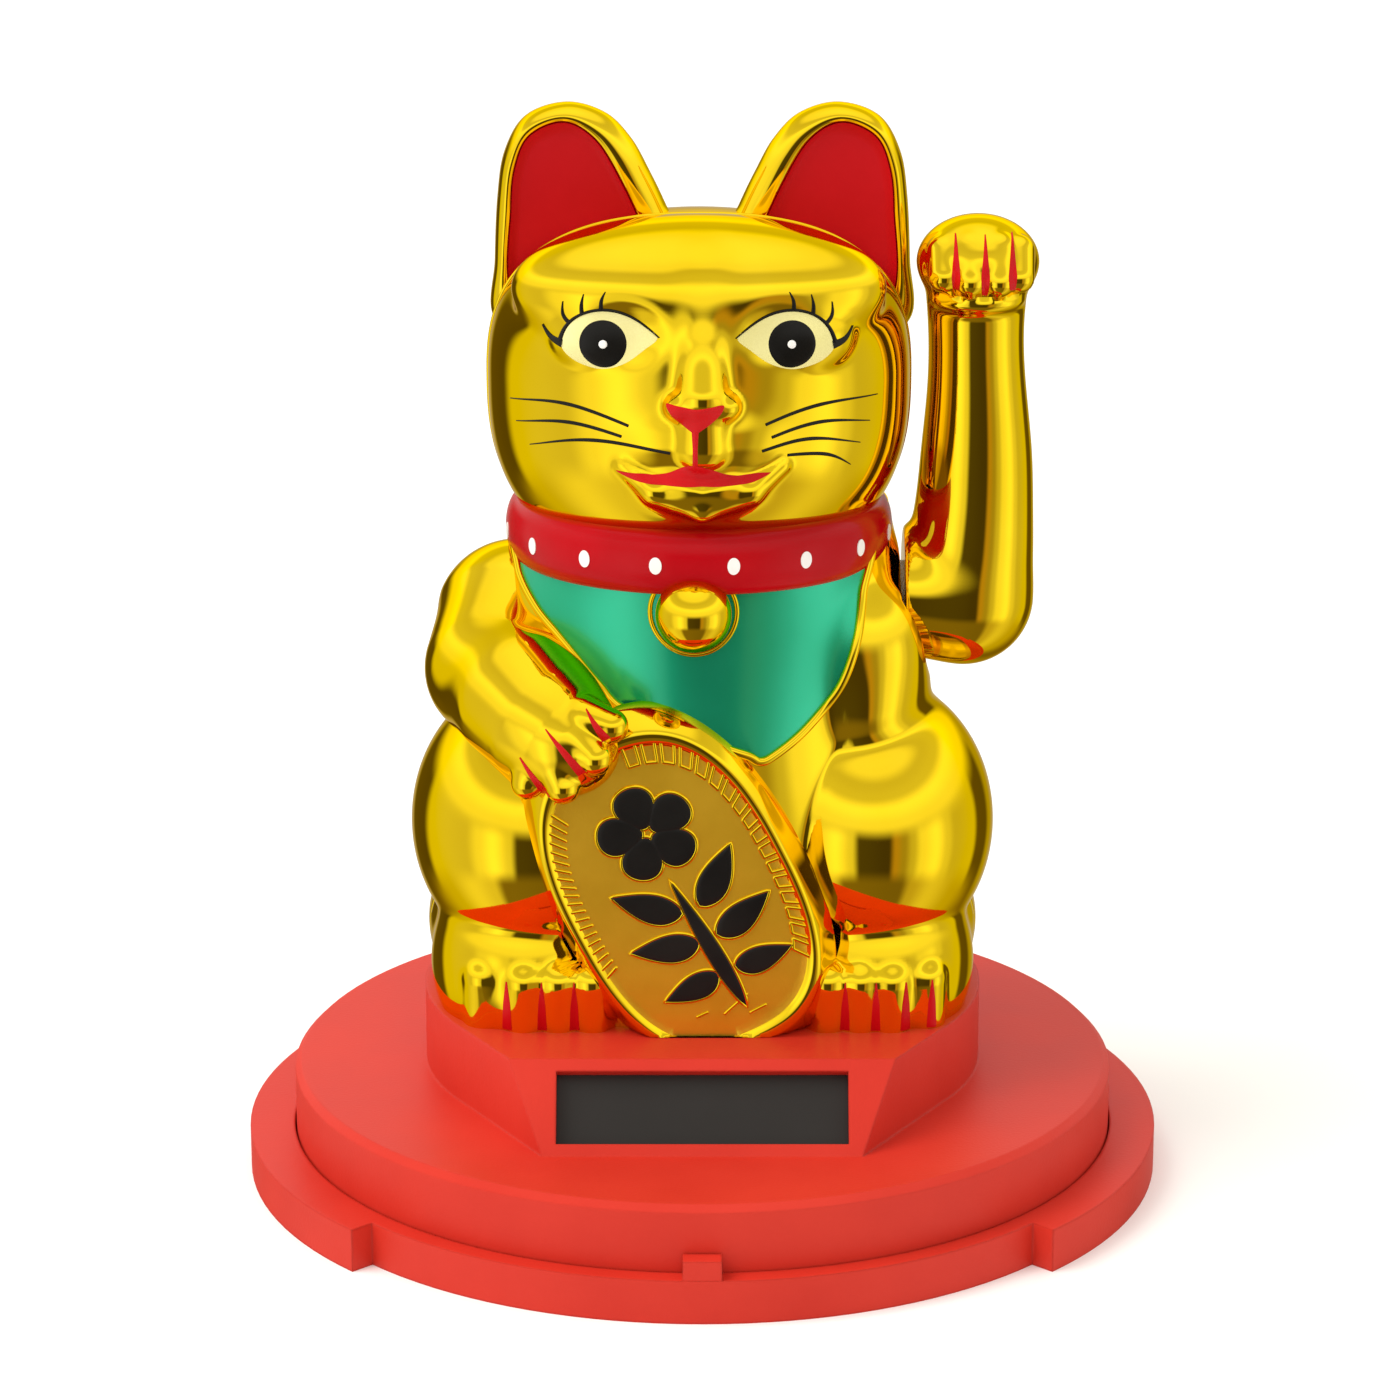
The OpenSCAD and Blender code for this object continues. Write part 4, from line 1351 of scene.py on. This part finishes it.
# -------------------------------------------------------------------- coin
@dataclass(frozen=True)
class Coin:
    """Leaning oval coin with a raised rim, a ticked band and a flower sprig."""

    shop: Workshop
    middle: Spot = (-2.6, 40.3)
    half_axes: Spot = (13.5, 21.0)
    power: float = 2.6
    tilt: float = 26.0
    foot_y: float = -20.75
    lean: float = 0.055
    rim: float = 0.45
    rim_width: float = 0.62
    back: float = 3.2
    dish: float = 1.5
    floor: float = 22.55
    count: int = 288
    band_share: Spot = (0.80, 0.925)
    frames: int = 17
    frame_start: float = -38.0
    frame_half: float = 0.72
    tick_start: float = 132.0
    ticks: int = 10
    pitch: float = 2.15
    wire: float = 0.24
    sunk: float = -0.02

    def at(self, share: np.ndarray, turn: np.ndarray) -> np.ndarray:
        """Place (x, z) at a share of the radius and an angle round the oval.

        The angle starts at the short axis on the viewer's right and rises
        towards the upper end of the long axis.
        """
        a, b = self.half_axes
        full = (np.abs(np.cos(turn)) ** self.power + np.abs(np.sin(turn)) ** self.power)
        share = share * full ** (-1.0 / self.power)
        flat = np.stack([share * a * np.cos(turn), share * b * np.sin(turn)], -1)
        return spun(flat, self.tilt, self.middle)

    def put(self, share: np.ndarray, turn: np.ndarray, y: np.ndarray) -> np.ndarray:
        """Points at a depth y behind the leaning face, cut off flat at the plinth."""
        return self.stand(self.at(share, turn), y)

    def stand(self, flat: np.ndarray, y: np.ndarray | float) -> np.ndarray:
        """Put places (x, z) on the leaning face, a depth y behind it."""
        tall = np.maximum(flat[..., 1], self.floor)
        face = self.foot_y - self.lean * (tall - self.floor)
        return np.stack([flat[..., 0], face + y, tall], -1)

    def build(self) -> None:
        """Make the disc, the marks on its band and the ornament."""
        edge = self.half_axes[0]
        step = self.rim_width / edge
        profile = [(0.0, 0.0)] + [(s, 0.0) for s in np.linspace(0.1, 1.0 - 2.2 * step, 14)]
        profile += [(1.0 - 1.9 * step, -0.3 * self.rim), (1.0 - 1.5 * step, -0.9 * self.rim),
                    (1.0 - step, -self.rim), (1.0 - 0.4 * step, -0.8 * self.rim),
                    (1.0, -0.1 * self.rim), (1.0 + 0.8 * step, 0.9), (1.0 + 1.8 * step, 2.2),
                    (1.0 + 2.4 * step, self.back), (0.95, self.dish), (0.0, self.dish)]
        turn = TAU * np.arange(self.count) / self.count
        grid = np.stack([self.put(np.full_like(turn, s), turn, y) for s, y in profile])
        self.shop.add("coin", (grid, grid_faces(len(profile), self.count, 0, True)), Slot.COIN,
                      sharp=40.0)
        rim = grid[14:23]
        self.shop.add("coin_rim", slab(rim - np.array([0.0, 0.06, 0.0]),
                                       rim + np.array([0.0, 0.3, 0.0]), True), Slot.GOLD,
                      sharp=40.0)
        self.band()
        Ornament(self.shop, self).build()

    def turn_at(self, start: float, along: np.ndarray) -> np.ndarray:
        """Angles that lie given lengths along the band from a start angle in degrees."""
        turn = math.radians(start) + np.linspace(-0.2, 3.6, 800)
        flat = self.at(np.full_like(turn, sum(self.band_share) / 2.0), turn)
        step = np.linalg.norm(np.diff(flat, axis=0), axis=1)
        length = np.concatenate([[0.0], np.cumsum(step)])
        length -= np.interp(math.radians(start), turn, length)
        return np.interp(along, length, turn)

    def band(self) -> None:
        """Small open frames round the upper right and cross ticks on the lower left."""
        near, far = self.band_share
        for i, place in enumerate(np.arange(self.frames) * self.pitch):
            corners = ((far, -1.0), (near, -1.0), (near, 1.0), (far, 1.0))
            path = np.concatenate([np.linspace(a, b, 7) for a, b in zip(corners, corners[1:])])
            turn = self.turn_at(self.frame_start, place + path[:, 1] * self.frame_half)
            self.wires(f"coin_frame_{i + 1:02d}", self.put(path[:, 0], turn, self.sunk))
        share = np.linspace(near, far, 7)
        for i, place in enumerate(np.arange(2 * self.ticks)):
            turn = self.turn_at(self.tick_start, np.full(7, place * self.pitch / 2.0))
            self.wires(f"coin_tick_{i + 1:02d}", self.put(share, turn, self.sunk))
        for i, (foot, tip) in enumerate((((2.6, 25.4), (5.2, 27.9)), ((5.6, 25.6), (7.4, 26.6)),
                                         ((-0.6, 25.0), (0.6, 25.6)))):
            self.wires(f"coin_scratch_{i + 1}", self.stand(np.linspace(foot, tip, 8), self.sunk),
                       0.8)

    def wires(self, name: str, path: np.ndarray, share: float = 1.0) -> None:
        """Lay one raised gold line; its thickness is a share of the usual wire."""
        self.shop.add(name, tube(path, share * self.wire, 8), Slot.GOLD)


@dataclass(frozen=True)
class Ornament:
    """Plum flower over a sprig of bamboo leaves, black enamel edged in gold."""

    shop: Workshop
    coin: Coin
    enamel: float = 0.28
    edge_radius: float = 0.26

    def flat(self, name: str, outline: np.ndarray) -> None:
        """Lay one enamel shape with its gold edge.

        Args:
            name: Name of the shape.
            outline: Edge as (u, v) along the short and the long axis.
        """
        edge = self.coin.stand(spun(outline, self.coin.tilt, self.coin.middle), 0.0)
        centre = edge.mean(0)
        share = np.array([0.0, 0.35, 0.7, 0.93, 1.0])[:, None, None]
        lift = self.enamel * np.array([1.0, 1.0, 1.0, 0.9, 0.45])[:, None]
        top = centre + share * (edge - centre)
        top[..., 1] -= lift
        low = top + np.array([0.0, 0.2 + self.enamel, 0.0])
        self.shop.add(name, slab(top, low, True), Slot.ENAMEL)
        self.shop.add(f"{name}_edge", tube(edge, self.edge_radius, 8, closed=True), Slot.GOLD)

    def petal(self, middle: Spot, radius: float, degrees: float) -> np.ndarray:
        """Round petal set off from a middle in a direction."""
        out, up = circle(48).T
        return spun(radius * np.stack([1.18 + out, 0.86 * up * (1.0 + 0.22 * out)], -1), degrees,
                    middle)

    def leaf(self, foot: Spot, length: float, width: float, degrees: float,
             bend: float) -> np.ndarray:
        """Pointed leaf that grows from its foot and bends to one side."""
        t = np.linspace(0.0, 1.0, 26)
        half = 0.5 * width * np.sin(math.pi * t**0.72) ** 0.9
        spine, off = np.stack([bend * t**2, length * t], -1), np.stack([half, 0.0 * half], -1)
        return spun(np.concatenate([spine - off, (spine + off)[-2:0:-1]]), degrees, foot)

    def build(self) -> None:
        """Lay the flower's five petals, the stem and the leaves."""
        flower = (0.1, 8.6)
        for i in range(5):
            self.flat(f"petal_{i + 1}", self.petal(flower, 2.75, 90.0 + 72.0 * i))
        self.flat("stem", self.leaf((0.9, -16.0), 18.4, 2.0, 3.0, -0.2))
        pairs = ((0.4, -2.2, 8.6, 3.8, 60.0), (0.6, -6.2, 8.2, 3.7, 84.0),
                 (0.8, -10.6, 7.2, 3.4, 106.0))
        for i, (u, v, length, width, degrees) in enumerate(pairs):
            for side, tag in ((1.0, "left"), (-1.0, "right")):
                self.flat(f"leaf_{tag}_{i + 1}",
                          self.leaf((u - side * 1.0, v), length, width, side * degrees,
                                    side * 1.4))


# ------------------------------------------------------------------ studio
@dataclass(frozen=True)
class Studio:
    """Pale floor, soft lights and the viewer's camera."""

    camera_at: Vec = (0.0, -0.53609, 0.2192)
    pitch: float = 16.80
    lens: float = 120.96
    shift_x: float = -0.0017
    floor_size: float = 8.0
    sky: float = 0.82
    floor_glow: float = 0.1
    key_at: Vec = (-0.80, -0.25, 1.15)
    key_aim: Vec = (0.0, 0.0, 0.06)
    key_size: float = 0.8
    key_power: float = 12.0
    side_bands: tuple[tuple[float, Vec], ...] = (
        (-180.0, (0.70, 0.66, 0.60)), (-162.0, (0.60, 0.56, 0.50)), (-153.0, (0.15, 0.12, 0.08)),
        (-131.0, (0.13, 0.10, 0.07)), (-120.0, (0.95, 0.92, 0.84)), (-98.0, (0.95, 0.92, 0.84)),
        (-74.0, (0.90, 0.86, 0.76)), (-58.0, (1.30, 1.28, 1.22)), (-42.0, (1.70, 1.68, 1.62)),
        (-24.0, (1.10, 1.08, 1.00)), (-15.0, (0.10, 0.08, 0.05)), (17.0, (0.08, 0.06, 0.04)),
        (25.0, (0.62, 0.40, 0.18)), (34.0, (0.50, 0.42, 0.28)), (44.0, (0.80, 0.76, 0.66)),
        (54.0, (1.30, 1.28, 1.20)), (70.0, (1.60, 1.58, 1.52)), (84.0, (1.05, 1.02, 0.96)),
        (93.0, (0.80, 0.76, 0.66)), (118.0, (0.90, 0.86, 0.76)), (126.0, (0.16, 0.12, 0.08)),
        (140.0, (0.15, 0.12, 0.08)), (150.0, (0.55, 0.52, 0.45)), (180.0, (0.70, 0.66, 0.60)))
    low_bands: tuple[tuple[float, Vec], ...] = (
        (-180.0, (0.50, 0.44, 0.34)), (-150.0, (0.24, 0.18, 0.10)), (-110.0, (0.80, 0.74, 0.60)),
        (-75.0, (1.20, 1.16, 1.05)), (-48.0, (1.00, 0.94, 0.80)), (-34.0, (0.28, 0.21, 0.11)),
        (34.0, (0.24, 0.18, 0.10)), (48.0, (0.70, 0.60, 0.42)), (75.0, (1.00, 0.94, 0.80)),
        (110.0, (0.70, 0.62, 0.46)), (150.0, (0.24, 0.18, 0.10)), (180.0, (0.50, 0.44, 0.34)))
    high_bands: tuple[tuple[float, Vec], ...] = (
        (0.0, (0.5, 0.4, 0.3)), (0.46, (0.8, 0.74, 0.62)), (0.54, (1.05, 1.02, 0.92)),
        (0.62, (1.35, 1.32, 1.24)), (0.72, (1.60, 1.58, 1.50)), (0.79, (0.95, 0.92, 0.80)),
        (0.86, (0.88, 0.84, 0.72)), (0.92, (1.35, 1.32, 1.24)), (1.0, (1.5, 1.48, 1.40)))
    side_share: tuple[Spot, ...] = ((0.0, 1.0), (0.50, 1.0), (0.60, 0.0), (1.0, 0.0))
    low_share: tuple[Spot, ...] = ((0.0, 1.0), (0.20, 1.0), (0.30, 0.0), (1.0, 0.0))

    def build(self) -> None:
        """Set everything up."""
        self.camera()
        self.floor()
        self.world()
        self.lights()

    def camera(self) -> None:
        """Place the camera; it looks slightly down at the cat."""
        bpy.context.scene.view_settings.view_transform = "Standard"
        data = bpy.data.cameras.new("camera")
        data.lens, data.sensor_width = self.lens, 36.0
        data.shift_x = self.shift_x
        data.clip_start, data.clip_end = 0.01, 50.0
        obj = bpy.data.objects.new("camera", data)
        obj.location = self.camera_at
        obj.rotation_euler = (math.radians(90.0 - self.pitch), 0.0, 0.0)
        bpy.context.scene.collection.objects.link(obj)
        bpy.context.scene.camera = obj

    def floor(self) -> None:
        """Lay the plain pale floor."""
        half = self.floor_size / 2.0
        mesh = bpy.data.meshes.new("floor")
        mesh.from_pydata([(-half, -half, 0.0), (half, -half, 0.0), (half, half, 0.0),
                          (-half, half, 0.0)], [], [(0, 1, 2, 3)])
        obj = bpy.data.objects.new("floor", mesh)
        bpy.context.scene.collection.objects.link(obj)
        mat = bpy.data.materials.new("floor")
        mat.use_nodes = True
        set_inputs(mat.node_tree, mat.node_tree.nodes["Principled BSDF"], {
            "Base Color": (0.88, 0.88, 0.88, 1.0), "Emission Color": (1.0, 1.0, 1.0, 1.0),
            "Emission Strength": self.floor_glow, "Roughness": 0.85, "Specular IOR Level": 0.1})
        mesh.materials.append(mat)
        obj.visible_glossy = False

    def world(self) -> None:
        """Soft boxes and dark gaps round the cat, as bands of azimuth and height.

        The azimuth is 0 towards the viewer and grows to the viewer's right; the
        height runs from 0 straight down through 0.5 level to 1 straight up.
        """
        world = bpy.data.worlds.new("studio")
        bpy.context.scene.world = world
        world.use_nodes = True
        tree = world.node_tree
        place = add_node(tree, "ShaderNodeTexCoord").outputs["Generated"]
        parts = add_node(tree, "ShaderNodeSeparateXYZ", {"Vector": place}).outputs
        front = add_node(tree, "ShaderNodeMath", {0: parts["Y"], 1: -1.0}, operation="MULTIPLY")
        angle = add_node(tree, "ShaderNodeMath", {0: parts["X"], 1: front.outputs["Value"]},
                         operation="ARCTAN2")
        share = add_node(tree, "ShaderNodeMapRange", {
            "Value": angle.outputs["Value"], "From Min": -math.pi,
            "From Max": math.pi}).outputs["Result"]
        height = add_node(tree, "ShaderNodeMapRange", {
            "Value": parts["Z"], "From Min": -1.0}).outputs["Result"]

        def blend(under: bpy.types.NodeSocket, above: bpy.types.NodeSocket,
                  amounts: Sequence[Spot]) -> bpy.types.NodeSocket:
            """Lay one look over another by an amount for each height."""
            grey = [(h, (c, c, c)) for h, c in amounts]
            return add_node(tree, "ShaderNodeMix", {
                "Factor": add_ramp(tree, height, grey, "EASE"), "A": under, "B": above},
                data_type="RGBA").outputs["Result"]

        side, low = (add_ramp(tree, share, [((a + 180.0) / 360.0, c) for a, c in bands], "EASE")
                     for bands in (self.side_bands, self.low_bands))
        around = blend(side, low, self.low_share)
        high = add_ramp(tree, height, self.high_bands, "EASE")
        sky = tree.nodes["Background"]
        set_inputs(tree, sky, {"Strength": self.sky,
                               "Color": blend(high, around, self.side_share)})
        seen = add_node(tree, "ShaderNodeBackground", {"Color": (1.0, 1.0, 1.0, 1.0)})
        path = add_node(tree, "ShaderNodeLightPath")
        pick = add_node(tree, "ShaderNodeMixShader", {
            "Fac": path.outputs["Is Camera Ray"], 1: sky.outputs["Background"],
            2: seen.outputs["Background"]})
        set_inputs(tree, tree.nodes["World Output"], {"Surface": pick.outputs["Shader"]})

    def lights(self) -> None:
        """One large soft box on the upper left, aimed at the chest."""
        data = bpy.data.lights.new("key_box", "AREA")
        data.size, data.energy, data.color = self.key_size, self.key_power, (1.0, 1.0, 0.98)
        obj = bpy.data.objects.new("key_box", data)
        obj.location = self.key_at
        obj.visible_glossy = False
        turn = (Vector(self.key_aim) - Vector(self.key_at)).to_track_quat("-Z", "Y")
        obj.rotation_euler = turn.to_euler()
        bpy.context.scene.collection.objects.link(obj)


# -------------------------------------------------------------------- main
def main() -> None:
    """Build the cat over its CAD frame."""
    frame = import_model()
    shop, cat = Workshop(), CatShape()
    maker = ShellMaker(shop)
    head = cat.head()
    GoldFigure(shop, maker, cat).build()
    BentArm(shop, cat).build()
    arm = GoldArm(shop, maker, cat)
    arm.build()
    Ears(shop).build()
    brush = Brush(shop)
    Face(shop, brush).build(head)
    Collar(shop).build()
    Bell(shop, brush).build(cat.chest())
    Bib(shop, brush).build(cat.chest())
    Coin(shop).build()
    Claws(shop, brush).build(cat.chest(), cat.bent_arm(), arm.form())
    shop.dress_nodes(frame)
    Studio().build()
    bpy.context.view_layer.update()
    LOG.info("%d visual pieces", shop.count)


if __name__ == "__main__":
    logging.basicConfig(level=logging.INFO, format="%(name)s: %(message)s")
    main()
